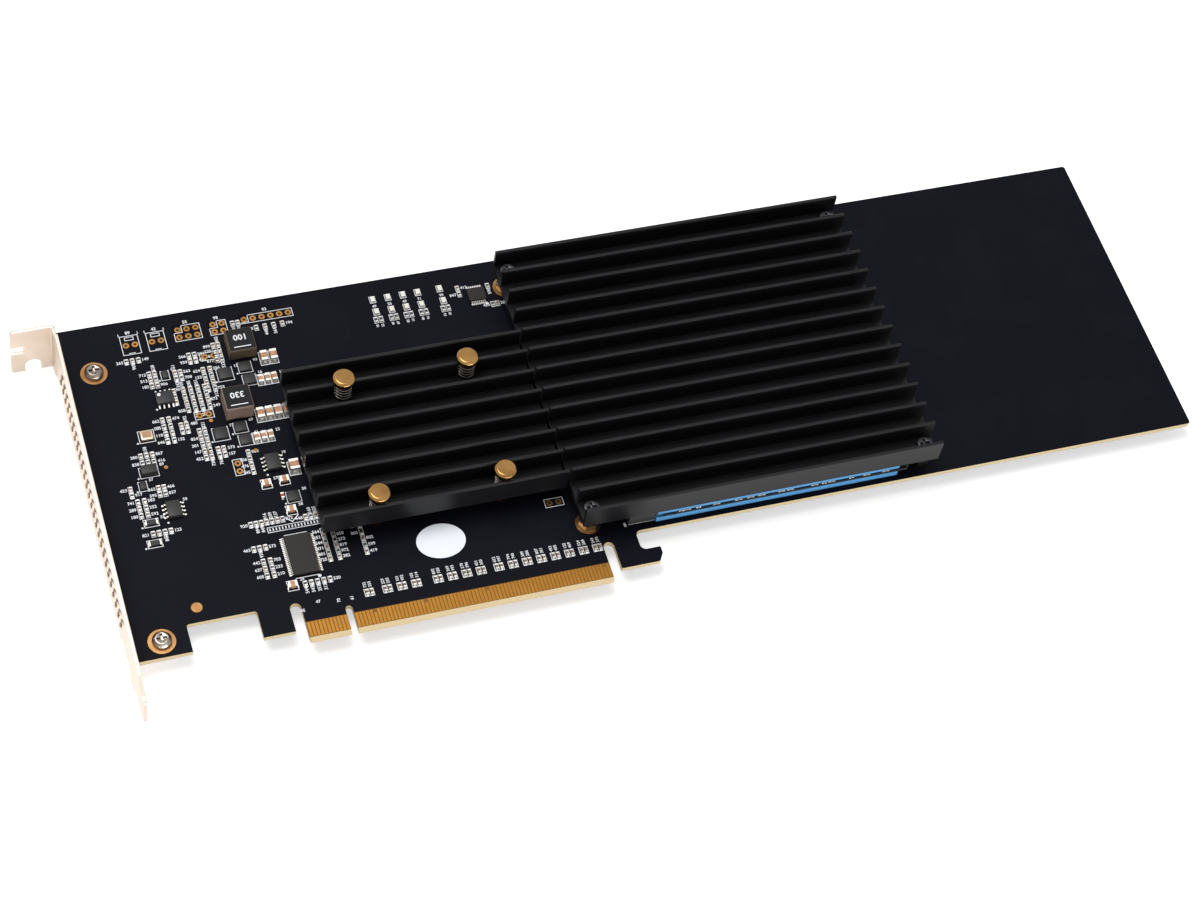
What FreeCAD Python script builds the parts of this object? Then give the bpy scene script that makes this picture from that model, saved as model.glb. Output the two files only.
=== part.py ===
"""NVMe adapter card: a full-length expansion card that carries four M.2 drives under a finned heatsink.

Frame, in millimetres: the origin is the centre of the key slot, on the lower edge of the contact
fingers and in the component face of the board. +X runs along the card away from the bracket, +Y from
the fingers to the top edge, and +Z out of the component side.
"""
import FreeCAD, Part
import math
import os

Vector = FreeCAD.Vector

# Board
CARD_LENGTH = 312.0            # outer face of the bracket to the far edge of the board
CARD_HEIGHT = 111.15           # tip of the fingers to the top edge
BOARD_THICKNESS = 1.57
BRACKET_TO_KEY = 59.4          # outer face of the bracket to the key slot
BOARD_GAP = 0.4                # between the bracket's inner face and the board
CORNER_RADIUS = 0.8
FOOT_LEVEL = 3.7               # lower edge of the two feet beside the fingers
FOOT_END = -42.6
HEEL_START = -23.8
HEEL_END = -15.2
RELIEF_LEVEL = 12.0            # top of the slots beside the fingers
LOWER_EDGE = 13.8              # lower edge of the board past the hook
KEY_WIDTH = 1.9
KEY_DEPTH = 8.25
FINGER_START = -12.15
FINGER_END = 72.15
FINGER_BEVEL_HEIGHT = 1.3
FINGER_BEVEL_DEPTH = 0.42
FINGER_CORNER = 0.7
SLOT_AFTER_FINGERS = 3.0
HOOK_TOE_LEVEL = 3.2
HOOK_TOE_END = 86.2
HOOK_TIP = 87.6
HOOK_TIP_LEVEL = 5.6
HOOK_SHELF = 7.7
HOOK_THROAT = 82.2

# Contact fingers
CONTACT_PITCH = 1.0
CONTACT_WIDTH = 0.7
CONTACT_TOP = 5.7
SHORT_CONTACT_TOP = 4.7
CONTACT_THICKNESS = 0.05
CONTACTS_BEFORE_KEY = 11
CONTACTS_AFTER_KEY = 71
CONTACT_TO_KEY = 1.5
PRESENCE_CONTACTS = (17, 31, 48, 81)

# Bracket
SHEET = 0.86
BEND_RADIUS = 0.4
BRACKET_NEAR = 14.5            # edge on the component side
BRACKET_WIDTH = 18.42
FLANGE_LEVEL = 104.9           # face that seats on the chassis
FLANGE_REACH = 11.43
FLANGE_NEAR = 11.8
SHOULDER_LEVEL = 101.6
SHOULDER_DROP = 1.2
SCREW_SLOT_WIDTH = 4.42
SCREW_SLOT_CENTRE = 5.4        # from the bracket's outer face
SCREW_SLOT_DEPTH = 4.6
END_NOTCH_WIDTH = 2.9
END_NOTCH_DEPTH = 3.5
END_NOTCH_CENTRE = 3.2
BRACKET_HEIGHT = 120.02
TONGUE_WIDTH = 10.19
TONGUE_FAR = 0.6
NEAR_TAPER_TOP = -8.0
FAR_TAPER_TOP = -1.8
TAPER_DROP = 4.0
TONGUE_CORNER = 1.2

# Vents in the bracket: one S-shaped slot, repeated up the plate
VENT_COUNT = 26
VENT_PITCH = 3.14
VENT_FIRST = 13.4              # level of the middle of the lowest slot
VENT_HEIGHT = 1.8
VENT_STRAIGHT = 1.2            # half length of the straight middle
VENT_TILT = 16.0               # slope of the middle, in degrees
VENT_END_TILT = 58.0           # slope where each hooked end stops
VENT_CURVE_RADIUS = 8.0
VENT_CENTRE_Z = 4.7

# Ears that carry the board, and their screws
EAR_LEVELS = (8.5, 95.5)
EAR_WIDTH = 9.0
EAR_REACH = 13.6               # from the bracket's outer face
EAR_HOLE_FROM_FACE = 9.6
EAR_RELIEF = 1.0
SCREW_RADIUS = 1.45
SCREW_CLEARANCE = 0.15
SCREW_HEAD_RADIUS = 2.6
SCREW_HEAD_HEIGHT = 1.8
SCREW_REACH = 3.6              # below the component face
RECESS_WIDTH = 0.7
RECESS_LENGTH = 2.8
RECESS_DEPTH = 1.0

# Heatsinks, cut from one extrusion
FIN_PITCH = 6.85
FIN_THICKNESS = 1.0
FIN_HEIGHT = 6.2
FIN_BASE = 1.6
FIN_TIP_CHAMFER = 0.2
DRIVE_SINK_LEFT = 67.1
DRIVE_SINK_PAST_DRIVES = 8.3
DRIVE_SINK_BOTTOM = 5.1
DRIVE_SINK_FRONT = 15.2
DRIVE_SINK_FINS = 14
SWITCH_SINK_LENGTH = 68.5
SWITCH_SINK_GAP = 0.5
SWITCH_SINK_FINS = 8
SWITCH_SINK_FIRST_FIN = 2      # channels between the two front fins
SWITCH_SINK_BOTTOM = 4.5

# Posts and screws that carry the drive heatsink
POST_INSET = 3.2
POST_ACROSS = 5.0
POST_BORE = 1.25
SINK_SCREW_RADIUS = 1.15
SINK_HEAD_RADIUS = 2.1
SINK_HEAD_HEIGHT = 1.6
SINK_SCREW_GRIP = 2.6
HOLE_CLEARANCE = 0.15

# Push pins that hold the switch heatsink
PIN_SPACING_X = 35.2
PIN_SPACING_Y = 38.0
PIN_CENTRE = (31.6, 51.7)
PIN_HEAD_RADIUS = 3.1
PIN_HEAD_HEIGHT = 1.9
PIN_HEAD_CHAMFER = 0.6
PIN_TOP = 14.3
PIN_SHANK_RADIUS = 1.5
PIN_BARB_RADIUS = 1.9
PIN_BARB_REACH = 2.2
SPRING_RADIUS = 2.3
SPRING_WIRE = 0.3
SPRING_TURNS = 3
SPRING_SIDES = 12              # straight lengths in a turn
SPRING_CLEARANCE = 0.15        # between a spring and the fin cut back for it

# Switch chip
SWITCH_PACKAGE = 35.0
SWITCH_PACKAGE_HEIGHT = 1.4
SWITCH_LID = 27.0
SWITCH_LID_HEIGHT = 2.1
SWITCH_LID_CHAMFER = 0.6

# Drives and what holds them
DRIVE_COUNT = 4
DRIVE_PITCH = 22.4
DRIVE_FIRST_EDGE = 16.1
DRIVE_WIDTH = 22.0
DRIVE_LENGTH = 80.0
DRIVE_THICKNESS = 0.8
DRIVE_LEVEL = 2.3              # underside above the board
SOCKET_LEFT = 80.9
SOCKET_DEPTH = 7.8
SOCKET_HEIGHT = 4.2
SOCKET_WIDTH = 21.9
SOCKET_SEAT = 2.8              # from the socket's back to the end of the drive
SOCKET_LOWER_LIP = 1.2         # how much shorter the lower jaw is
SLOT_CLEARANCE = 0.1
DRIVE_TONGUE_WIDTH = 19.85
DRIVE_KEY_OFFSET = 6.1
DRIVE_KEY_WIDTH = 1.2
DRIVE_KEY_DEPTH = 3.5
DRIVE_HOLE_RADIUS = 1.75
CHIP_THICKNESS = 1.0
CONTROLLER_SIZE = (12.0, 12.0)
MEMORY_SIZE = (17.0, 14.0)
BUFFER_SIZE = (8.0, 11.0)
# Middle of each package along the drive, in hundredths of DRIVE_LENGTH
CONTROLLER_ALONG = 21.0
BUFFER_ALONG = 36.0
MEMORY_ALONG = (56.0, 81.0)
THERMAL_PAD_PROUD = 0.7        # past the front edge of a drive
THERMAL_PAD_INSET = 1.0        # short of its back edge
THERMAL_PAD_STOP = 0.4         # short of the standoff
LOWER_PAD_THICKNESS = 1.8
UPPER_PAD_GAP = 0.4            # from the drive's face to the upper pad
PAD_POCKET_CLEARANCE = 0.1
STANDOFF_ACROSS = 4.6
STANDOFF_BORE = 0.9
STANDOFF_FLOOR = 0.4           # what the bore leaves above the board
DRIVE_HEAD_RADIUS = 2.1
DRIVE_HEAD_HEIGHT = 0.7
DRIVE_SCREW_RADIUS = 0.85
DRIVE_SCREW_SLOT = (2.4, 0.5, 0.7)

# Chip parts on the board: size along X, size along Y and height
BULK_CAPACITOR = (1.9, 3.2, 1.8)
TALL_CAPACITOR_SIZE = (2.6, 3.2, 2.4)
FILTER_CAPACITOR = (1.35, 2.4, 1.2)
CROSS_CAPACITOR = (2.4, 1.75, 1.2)
DIODE_SIZE = (4.3, 2.6, 1.9)
OSCILLATOR_SIZE = (3.4, 3.0, 1.0)
TRANSISTOR_SIZE = (1.6, 2.4, 0.9)
TWO_LEAD_SIZE = (3.2, 1.6, 0.7)
LED_RESISTOR = (0.8, 1.6, 0.45)
LED_RESISTOR_SPREAD = 1.5
POWER_CHIP = (3.3, 3.1, 0.9)
CONTROL_CHIP = (3.6, 3.6, 0.9)
EIGHT_PIN_BODY = (3.9, 4.9, 1.4)
MEMORY_BODY = (6.9, 12.4, 1.0)
DRIVER_BODY = (5.0, 4.4, 1.0)
BODY_CLEARANCE = 0.1           # under a package that stands on leads
EIGHT_PIN_PITCH = 1.27
LEAD_WIDTH = 0.42
LEAD_REACH = 1.1
LEAD_LEVEL = 0.6
LEAD_THICKNESS = 0.2
SMALL_PART = (0.75, 1.3, 0.5)
COUPLING_CAPACITOR = (0.75, 1.5, 0.7)
LED_SIZE = (1.2, 1.6, 0.6)

# Places on the board, as centres: X in millimetres, then the height up the board in hundredths of
# CARD_HEIGHT
INDUCTORS = ((-8.7, 86.3), (-14.1, 68.7))
INDUCTOR_HEIGHTS = (4.2, 5.2)
INDUCTOR_SIZE = 7.7
INDUCTOR_CHAMFER = 0.3
# Rows also give how many stand side by side and their pitch
BULK_ROWS = ((-3.1, 81.8, 2, 2.7), (-8.5, 65.1, 4, 2.47))
FILTER_ROWS = ((-5.7, 75.5, 3, 1.95), (-11.2, 58.7, 3, 1.95))
CROSS_CAPACITORS = ((-12.1, 45.1), (-7.1, 45.3), (-7.5, 36.5), (-12.8, 15.7))
TALL_CAPACITOR = (-3.6, 48.2)
POWER_CHIPS = ((-8.9, 80.1), (-8.6, 76.1), (-14.7, 62.6), (-14.2, 58.7), (-5.9, 40.1))
CONTROL_CHIPS = ((-14.8, 79.0), (-20.4, 61.7))
EIGHT_PIN_UPRIGHT = ((-8.8, 50.7), (-38.1, 42.4))
EIGHT_PIN_SIDEWAYS = ((-32.8, 74.7),)
MEMORY_CHIP = (-8.3, 23.6)
LED_DRIVER = (61.3, 90.0)
OSCILLATOR = (-40.2, 64.8)
DIODE = (-42.0, 54.5)
TRANSISTORS = ((-44.5, 50.7), (-31.0, 81.7))
TWO_LEAD_PARTS = ((-44.8, 40.1), (-45.2, 34.2))
LED_COLUMNS = (31.7, 36.2, 40.6, 45.0, 51.5)
LED_ROWS = (94.0, 90.1)
LED_RESISTOR_ROW = 87.6
BLANK_LABEL = (29.4, 20.1)
LABEL_SIZE = (13.6, 10.8)
LABEL_THICKNESS = 0.1

# Blocks of small parts: place of the first part, columns and rows, then the pitch of each in
# millimetres and in hundredths of CARD_HEIGHT
SMALL_BLOCKS = (
    (-15.9, 83.7, 2, 4, 1.4, 1.5),
    (-20.4, 75.4, 2, 4, 1.9, 2.0),
    (-27.2, 70.4, 4, 4, 2.0, 2.0),
    (-35.2, 79.2, 2, 3, 1.5, 1.8),
    (-28.2, 80.1, 2, 2, 1.5, 1.8),
    (-40.4, 87.6, 3, 1, 1.7, 1.5),
    (-29.9, 73.1, 1, 3, 1.5, 1.7),
    (-34.9, 62.3, 2, 4, 1.8, 2.1),
    (-30.3, 64.4, 2, 2, 1.5, 1.8),
    (-43.1, 57.2, 3, 2, 1.6, 2.1),
    (-48.0, 48.6, 1, 2, 1.5, 1.8),
    (-40.6, 47.6, 2, 2, 1.5, 1.8),
    (-25.9, 55.6, 2, 5, 1.5, 2.0),
    (-22.2, 55.6, 2, 2, 1.5, 1.8),
    (-46.9, 42.5, 2, 3, 1.8, 2.0),
    (-45.0, 36.9, 4, 1, 1.6, 1.8),
    (-14.5, 49.3, 1, 4, 1.5, 1.9),
    (-19.2, 34.4, 7, 1, 1.45, 1.8),
    (-4.3, 33.8, 4, 1, 1.4, 1.8),
    (-1.0, 21.1, 2, 6, 2.6, 1.6),
    (9.1, 21.1, 1, 5, 1.5, 1.9),
    (-9.4, 15.5, 5, 1, 1.7, 1.8),
    (-20.2, 27.5, 3, 1, 1.6, 1.8),
    (-18.6, 19.6, 2, 3, 1.9, 2.0),
    (-8.9, 93.9, 2, 1, 1.5, 1.8),
    (-2.7, 91.4, 4, 1, 2.5, 1.8),
    (56.6, 91.2, 1, 2, 1.5, 1.9),
    (65.2, 86.5, 2, 1, 1.4, 1.8),
    (65.4, 92.4, 1, 1, 1.5, 1.8),
    (-23.2, 84.6, 2, 2, 1.6, 1.8),
)

# Coupling capacitors stand over these fingers of the component side, two to a lane
LANE_CONTACTS = (14, 19, 23, 27, 33, 37, 41, 45, 50, 54, 58, 62, 66, 70, 74, 78)
LANE_OFFSET = 2.5
LANE_LEVEL = 11.0
LANE_SPREAD = 0.65

# Values that follow from the sizes above
BRACKET_FACE = -BRACKET_TO_KEY
BRACKET_FAR = BRACKET_NEAR - BRACKET_WIDTH
BOARD_LEFT = BRACKET_FACE + SHEET + BOARD_GAP
BOARD_RIGHT = BRACKET_FACE + CARD_LENGTH
BOARD_BACK = -BOARD_THICKNESS
FLANGE_FAR = FLANGE_NEAR - BRACKET_WIDTH
BRACKET_BOTTOM = FLANGE_LEVEL + SHEET - BRACKET_HEIGHT
EAR_HOLE_X = BRACKET_FACE + EAR_HOLE_FROM_FACE
DRIVE_SINK_WIDTH = (DRIVE_SINK_FINS - 1) * FIN_PITCH + FIN_THICKNESS
DRIVE_SINK_REAR = DRIVE_SINK_FRONT + DRIVE_SINK_WIDTH
SWITCH_SINK_LEFT = DRIVE_SINK_LEFT - SWITCH_SINK_GAP - SWITCH_SINK_LENGTH
SWITCH_SINK_FRONT = DRIVE_SINK_FRONT + SWITCH_SINK_FIRST_FIN * FIN_PITCH
SWITCH_PAD_BOTTOM = SWITCH_PACKAGE_HEIGHT + SWITCH_LID_HEIGHT
CHANNEL_CENTRE = (FIN_THICKNESS + FIN_PITCH) / 2
DRIVE_LEFT = SOCKET_LEFT + SOCKET_SEAT
DRIVE_RIGHT = DRIVE_LEFT + DRIVE_LENGTH
DRIVE_TOP = DRIVE_LEVEL + DRIVE_THICKNESS
DRIVE_CENTRES = [DRIVE_FIRST_EDGE + DRIVE_WIDTH / 2 + i * DRIVE_PITCH for i in range(DRIVE_COUNT)]
DRIVE_SINK_RIGHT = DRIVE_RIGHT + DRIVE_SINK_PAST_DRIVES
POSTS = [
    (x, y)
    for x in (DRIVE_SINK_LEFT + POST_INSET, DRIVE_SINK_RIGHT - POST_INSET)
    for y in (DRIVE_SINK_FRONT + CHANNEL_CENTRE, DRIVE_SINK_REAR - CHANNEL_CENTRE)
]
PINS = [
    (PIN_CENTRE[0] + side * PIN_SPACING_X / 2, PIN_CENTRE[1] + end * PIN_SPACING_Y / 2)
    for side in (-1, 1)
    for end in (-1, 1)
]
BRACKET_SCREWS = [(EAR_HOLE_X, level) for level in EAR_LEVELS]


def box(x0, x1, y0, y1, z0, z1):
    return Part.makeBox(x1 - x0, y1 - y0, z1 - z0, Vector(x0, y0, z0))


def block(centre, size, z0):
    """A box of size (X, Y, height) that stands on level z0 with its middle at centre."""
    x, y = centre[0], centre[1]
    return box(x - size[0] / 2, x + size[0] / 2, y - size[1] / 2, y + size[1] / 2, z0, z0 + size[2])


def up(share):
    """The level that is share hundredths of the way up the board."""
    return share * CARD_HEIGHT / 100


def stand(place, size):
    """A box of size (X, Y, height) on the board at a place given by X and height share."""
    return block((place[0], up(place[1])), size, 0)


def rod(x, y, z0, z1, radius):
    return Part.makeCylinder(radius, z1 - z0, Vector(x, y, z0))


def hexagon(x, y, z0, z1, across):
    corner = across / math.sqrt(3)
    ring = [Vector(x + corner * math.cos(math.radians(a)), y + corner * math.sin(math.radians(a)), z0)
            for a in range(0, 361, 60)]
    return Part.Face(Part.makePolygon(ring)).extrude(Vector(0, 0, z1 - z0))


def turned(x, y, profile):
    """A solid of revolution about the vertical line through (x, y), from (radius, height) points."""
    wire = Part.makePolygon([Vector(x + r, y, z) for r, z in profile + [profile[0]]])
    return Part.Face(wire).revolve(Vector(x, y, 0), Vector(0, 0, 1), 360)


def rounded_outline(corners, to_space):
    """A closed wire through (u, v, radius) corners, each rounded by an arc of its radius."""
    count = len(corners)
    starts, ends, mids = [], [], []
    for i in range(count):
        before, here, after = corners[i - 1], corners[i], corners[(i + 1) % count]
        to_before = (before[0] - here[0], before[1] - here[1])
        to_after = (after[0] - here[0], after[1] - here[1])
        len_before = math.hypot(*to_before)
        len_after = math.hypot(*to_after)
        unit_before = (to_before[0] / len_before, to_before[1] / len_before)
        unit_after = (to_after[0] / len_after, to_after[1] / len_after)
        dot = unit_before[0] * unit_after[0] + unit_before[1] * unit_after[1]
        half_angle = math.acos(max(-1.0, min(1.0, dot))) / 2
        radius = here[2]
        reach = radius / math.tan(half_angle)
        starts.append((here[0] + unit_before[0] * reach, here[1] + unit_before[1] * reach))
        ends.append((here[0] + unit_after[0] * reach, here[1] + unit_after[1] * reach))
        bisector = (unit_before[0] + unit_after[0], unit_before[1] + unit_after[1])
        length = math.hypot(*bisector)
        inset = radius / math.sin(half_angle) - radius
        mids.append((here[0] + bisector[0] / length * inset, here[1] + bisector[1] / length * inset))
    edges = []
    for i in range(count):
        if corners[i][2] > 0:
            arc = Part.Arc(to_space(*starts[i]), to_space(*mids[i]), to_space(*ends[i]))
            edges.append(arc.toShape())
        following = starts[(i + 1) % count]
        if math.dist(ends[i], following) > 1e-6:
            edges.append(Part.makeLine(to_space(*ends[i]), to_space(*following)))
    return Part.Wire(Part.__sortEdges__(edges))


def flat_plate(corners, z0, z1):
    """A plate in the card's plane between two levels, with (x, y, radius) corners."""
    wire = rounded_outline(corners, lambda u, v: Vector(u, v, z0))
    return Part.Face(wire).extrude(Vector(0, 0, z1 - z0))


def board_outline():
    half_key = KEY_WIDTH / 2
    slot_radius = (FINGER_START - HEEL_END) / 2
    far_slot_radius = SLOT_AFTER_FINGERS / 2
    hook_start = FINGER_END + SLOT_AFTER_FINGERS
    foot_radius = CORNER_RADIUS / 2
    return [
        (BOARD_LEFT, FOOT_LEVEL, foot_radius),
        (FOOT_END, FOOT_LEVEL, 0),
        (FOOT_END, RELIEF_LEVEL, CORNER_RADIUS),
        (HEEL_START, RELIEF_LEVEL, CORNER_RADIUS),
        (HEEL_START, FOOT_LEVEL, 0),
        (HEEL_END, FOOT_LEVEL, 0),
        (HEEL_END, RELIEF_LEVEL, slot_radius),
        (FINGER_START, RELIEF_LEVEL, slot_radius),
        (FINGER_START, 0, FINGER_CORNER),
        (-half_key, 0, 0),
        (-half_key, KEY_DEPTH, half_key),
        (half_key, KEY_DEPTH, half_key),
        (half_key, 0, 0),
        (FINGER_END, 0, FINGER_CORNER),
        (FINGER_END, RELIEF_LEVEL, far_slot_radius),
        (hook_start, RELIEF_LEVEL, far_slot_radius),
        (hook_start, HOOK_TOE_LEVEL, foot_radius),
        (HOOK_TOE_END, HOOK_TOE_LEVEL, CORNER_RADIUS),
        (HOOK_TIP, HOOK_TIP_LEVEL, CORNER_RADIUS),
        (HOOK_TIP, HOOK_SHELF, foot_radius),
        (HOOK_THROAT, HOOK_SHELF, 2 * CORNER_RADIUS),
        (HOOK_THROAT, LOWER_EDGE, 2 * CORNER_RADIUS),
        (BOARD_RIGHT, LOWER_EDGE, CORNER_RADIUS),
        (BOARD_RIGHT, CARD_HEIGHT, CORNER_RADIUS),
        (BOARD_LEFT, CARD_HEIGHT, CORNER_RADIUS),
    ]


def finger_bevel(face_level, direction):
    """The wedge that bevels one face of the finger edge."""
    section = Part.makePolygon([
        Vector(FINGER_START - 1, -1, face_level + direction),
        Vector(FINGER_START - 1, FINGER_BEVEL_HEIGHT, face_level + direction),
        Vector(FINGER_START - 1, FINGER_BEVEL_HEIGHT, face_level),
        Vector(FINGER_START - 1, 0, face_level - direction * FINGER_BEVEL_DEPTH),
        Vector(FINGER_START - 1, -1, face_level - direction * FINGER_BEVEL_DEPTH),
        Vector(FINGER_START - 1, -1, face_level + direction),
    ])
    return Part.Face(section).extrude(Vector(FINGER_END - FINGER_START + 2, 0, 0))


def circuit_board():
    plate = flat_plate(board_outline(), BOARD_BACK, 0)
    tools = [finger_bevel(0, 1), finger_bevel(BOARD_BACK, -1)]
    for x, y in BRACKET_SCREWS:
        tools.append(rod(x, y, BOARD_BACK - 1, 1, SCREW_RADIUS + SCREW_CLEARANCE))
    for x, y in PINS:
        tools.append(rod(x, y, BOARD_BACK - 1, 1, PIN_SHANK_RADIUS + HOLE_CLEARANCE))
    return plate.cut(tools)


def contact_places():
    """Centre of each finger contact along X, in order from the bracket."""
    before = [-CONTACT_TO_KEY - (CONTACTS_BEFORE_KEY - 1 - i) * CONTACT_PITCH
              for i in range(CONTACTS_BEFORE_KEY)]
    after = [CONTACT_TO_KEY + i * CONTACT_PITCH for i in range(CONTACTS_AFTER_KEY)]
    return before + after


def edge_contacts():
    pads = []
    for number, x in enumerate(contact_places(), start=1):
        left, right = x - CONTACT_WIDTH / 2, x + CONTACT_WIDTH / 2
        top = SHORT_CONTACT_TOP if number in PRESENCE_CONTACTS else CONTACT_TOP
        pads.append(box(left, right, FINGER_BEVEL_HEIGHT, top, 0, CONTACT_THICKNESS))
        back = BOARD_BACK - CONTACT_THICKNESS
        pads.append(box(left, right, FINGER_BEVEL_HEIGHT, CONTACT_TOP, back, BOARD_BACK))
    return Part.makeCompound(pads)


def vent_slot(level):
    """An S-shaped slot through the bracket whose middle is at the given level."""
    tilts = [math.radians(t) for t in (VENT_TILT, (VENT_TILT + VENT_END_TILT) / 2, VENT_END_TILT)]
    run = VENT_STRAIGHT * math.cos(tilts[0])
    rise = VENT_STRAIGHT * math.sin(tilts[0])
    hook = [(run + VENT_CURVE_RADIUS * (math.sin(t) - math.sin(tilts[0])),
             rise + VENT_CURVE_RADIUS * (math.cos(tilts[0]) - math.cos(t))) for t in tilts]

    def point(side, place, shift):
        u, v = hook[place]
        return Vector(BRACKET_FACE - 1, level + side * v + shift, VENT_CENTRE_Z - side * u)

    edges = []
    for shift in (-VENT_HEIGHT / 2, VENT_HEIGHT / 2):
        edges.append(Part.makeLine(point(-1, 0, shift), point(1, 0, shift)))
        for side in (-1, 1):
            edges.append(Part.Arc(*[point(side, place, shift) for place in range(3)]).toShape())
    for side in (-1, 1):
        edges.append(Part.makeLine(point(side, 2, -VENT_HEIGHT / 2), point(side, 2, VENT_HEIGHT / 2)))
    wire = Part.Wire(Part.__sortEdges__(edges))
    return Part.Face(wire).extrude(Vector(SHEET + 2, 0, 0))


def bracket_body():
    """The upright plate, with its tongue, before the bends are added."""
    top = FLANGE_LEVEL - BEND_RADIUS
    tongue_near = TONGUE_FAR + TONGUE_WIDTH
    outline = [
        (top, FLANGE_FAR, 0),
        (top, FLANGE_NEAR, 0),
        (SHOULDER_LEVEL, FLANGE_NEAR, 0.5),
        (SHOULDER_LEVEL - SHOULDER_DROP, BRACKET_NEAR, 0.5),
        (NEAR_TAPER_TOP, BRACKET_NEAR, 0.5),
        (NEAR_TAPER_TOP - TAPER_DROP, tongue_near, 0.5),
        (BRACKET_BOTTOM, tongue_near, TONGUE_CORNER),
        (BRACKET_BOTTOM, TONGUE_FAR, TONGUE_CORNER),
        (FAR_TAPER_TOP - TAPER_DROP, TONGUE_FAR, 0.5),
        (FAR_TAPER_TOP, BRACKET_FAR, 0.5),
        (SHOULDER_LEVEL - SHOULDER_DROP, BRACKET_FAR, 0.5),
        (SHOULDER_LEVEL, FLANGE_FAR, 0.5),
    ]
    wire = rounded_outline(outline, lambda u, v: Vector(BRACKET_FACE, u, v))
    return Part.Face(wire).extrude(Vector(SHEET, 0, 0))


def ring_sector(centre, start, middle, end, along):
    """A quarter bend: the two arcs run from start to end through middle, given as unit directions."""
    inner, outer = BEND_RADIUS, BEND_RADIUS + SHEET
    inner_arc = Part.Arc(*[centre + d * inner for d in (start, middle, end)]).toShape()
    outer_arc = Part.Arc(*[centre + d * outer for d in (start, middle, end)]).toShape()
    sides = [Part.makeLine(centre + d * inner, centre + d * outer) for d in (start, end)]
    wire = Part.Wire(Part.__sortEdges__([inner_arc, sides[0], outer_arc, sides[1]]))
    return Part.Face(wire).extrude(along)


def bracket_flange():
    """The top flange that a chassis screw holds, bent outwards."""
    start = BRACKET_FACE - BEND_RADIUS
    end = BRACKET_FACE - FLANGE_REACH
    flange = flat_flange(start, end)
    slot_left = BRACKET_FACE - SCREW_SLOT_CENTRE - SCREW_SLOT_WIDTH / 2
    slot_top = FLANGE_FAR + SCREW_SLOT_DEPTH - SCREW_SLOT_WIDTH / 2
    slot = box(slot_left, slot_left + SCREW_SLOT_WIDTH, FLANGE_LEVEL - 1, FLANGE_LEVEL + SHEET + 1,
               FLANGE_FAR - 1, slot_top)
    slot_end = Part.makeCylinder(SCREW_SLOT_WIDTH / 2, SHEET + 2,
                                 Vector(BRACKET_FACE - SCREW_SLOT_CENTRE, FLANGE_LEVEL - 1, slot_top),
                                 Vector(0, 1, 0))
    notch = box(end - 1, end + END_NOTCH_DEPTH, FLANGE_LEVEL - 1, FLANGE_LEVEL + SHEET + 1,
                END_NOTCH_CENTRE - END_NOTCH_WIDTH / 2, END_NOTCH_CENTRE + END_NOTCH_WIDTH / 2)
    flange = flange.cut([slot, slot_end, notch])
    centre = Vector(start, FLANGE_LEVEL - BEND_RADIUS, FLANGE_FAR)
    diagonal = Vector(1, 1, 0).normalize()
    bend = ring_sector(centre, Vector(1, 0, 0), diagonal, Vector(0, 1, 0), Vector(0, 0, BRACKET_WIDTH))
    return flange.fuse(bend)


def flat_flange(start, end):
    outline = [
        (start, FLANGE_FAR, 0),
        (start, FLANGE_NEAR, 0),
        (end, FLANGE_NEAR, CORNER_RADIUS),
        (end, FLANGE_FAR, CORNER_RADIUS),
    ]
    wire = rounded_outline(outline, lambda u, v: Vector(u, FLANGE_LEVEL, v))
    return Part.Face(wire).extrude(Vector(0, SHEET, 0))


def bracket_ear(level):
    """One ear under the board: a quarter bend, then a rounded tab with the screw hole."""
    low = level - EAR_WIDTH / 2
    start = BRACKET_FACE + SHEET + BEND_RADIUS
    end = BRACKET_FACE + EAR_REACH
    corners = [(start, low, 0), (end, low, 2 * CORNER_RADIUS),
               (end, low + EAR_WIDTH, 2 * CORNER_RADIUS), (start, low + EAR_WIDTH, 0)]
    tab = flat_plate(corners, BOARD_BACK - SHEET, BOARD_BACK)
    tab = tab.cut(rod(EAR_HOLE_X, level, BOARD_BACK - SHEET - 1, BOARD_BACK + 1, SCREW_RADIUS))
    centre = Vector(start, low, BOARD_BACK + BEND_RADIUS)
    diagonal = Vector(-1, 0, -1).normalize()
    bend = ring_sector(centre, Vector(-1, 0, 0), diagonal, Vector(0, 0, -1), Vector(0, EAR_WIDTH, 0))
    return tab.fuse(bend)


def bracket():
    plate = bracket_body()
    tools = [vent_slot(VENT_FIRST + i * VENT_PITCH) for i in range(VENT_COUNT)]
    ear_root = BOARD_BACK + BEND_RADIUS
    for level in EAR_LEVELS:
        low, high = level - EAR_WIDTH / 2, level + EAR_WIDTH / 2
        tools.append(box(BRACKET_FACE - 1, BRACKET_FACE + SHEET + 1, low - EAR_RELIEF, high + EAR_RELIEF,
                         BRACKET_FAR - 1, ear_root))
    plate = plate.cut(tools)
    ears = [bracket_ear(level) for level in EAR_LEVELS]
    return plate.fuse([bracket_flange()] + ears).removeSplitter()


def cross_recess(x, y, top):
    reach = RECESS_LENGTH / 2
    half = RECESS_WIDTH / 2
    floor = top - RECESS_DEPTH
    return [box(x - reach, x + reach, y - half, y + half, floor, top + 1),
            box(x - half, x + half, y - reach, y + reach, floor, top + 1)]


def bracket_screw(x, y):
    top = SCREW_HEAD_HEIGHT
    screw = turned(x, y, [
        (0, -SCREW_REACH), (SCREW_RADIUS, -SCREW_REACH), (SCREW_RADIUS, 0), (SCREW_HEAD_RADIUS, 0),
        (SCREW_HEAD_RADIUS, 0.5 * top), (0.7 * SCREW_HEAD_RADIUS, top), (0, top),
    ])
    return screw.cut(cross_recess(x, y, top))


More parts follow.
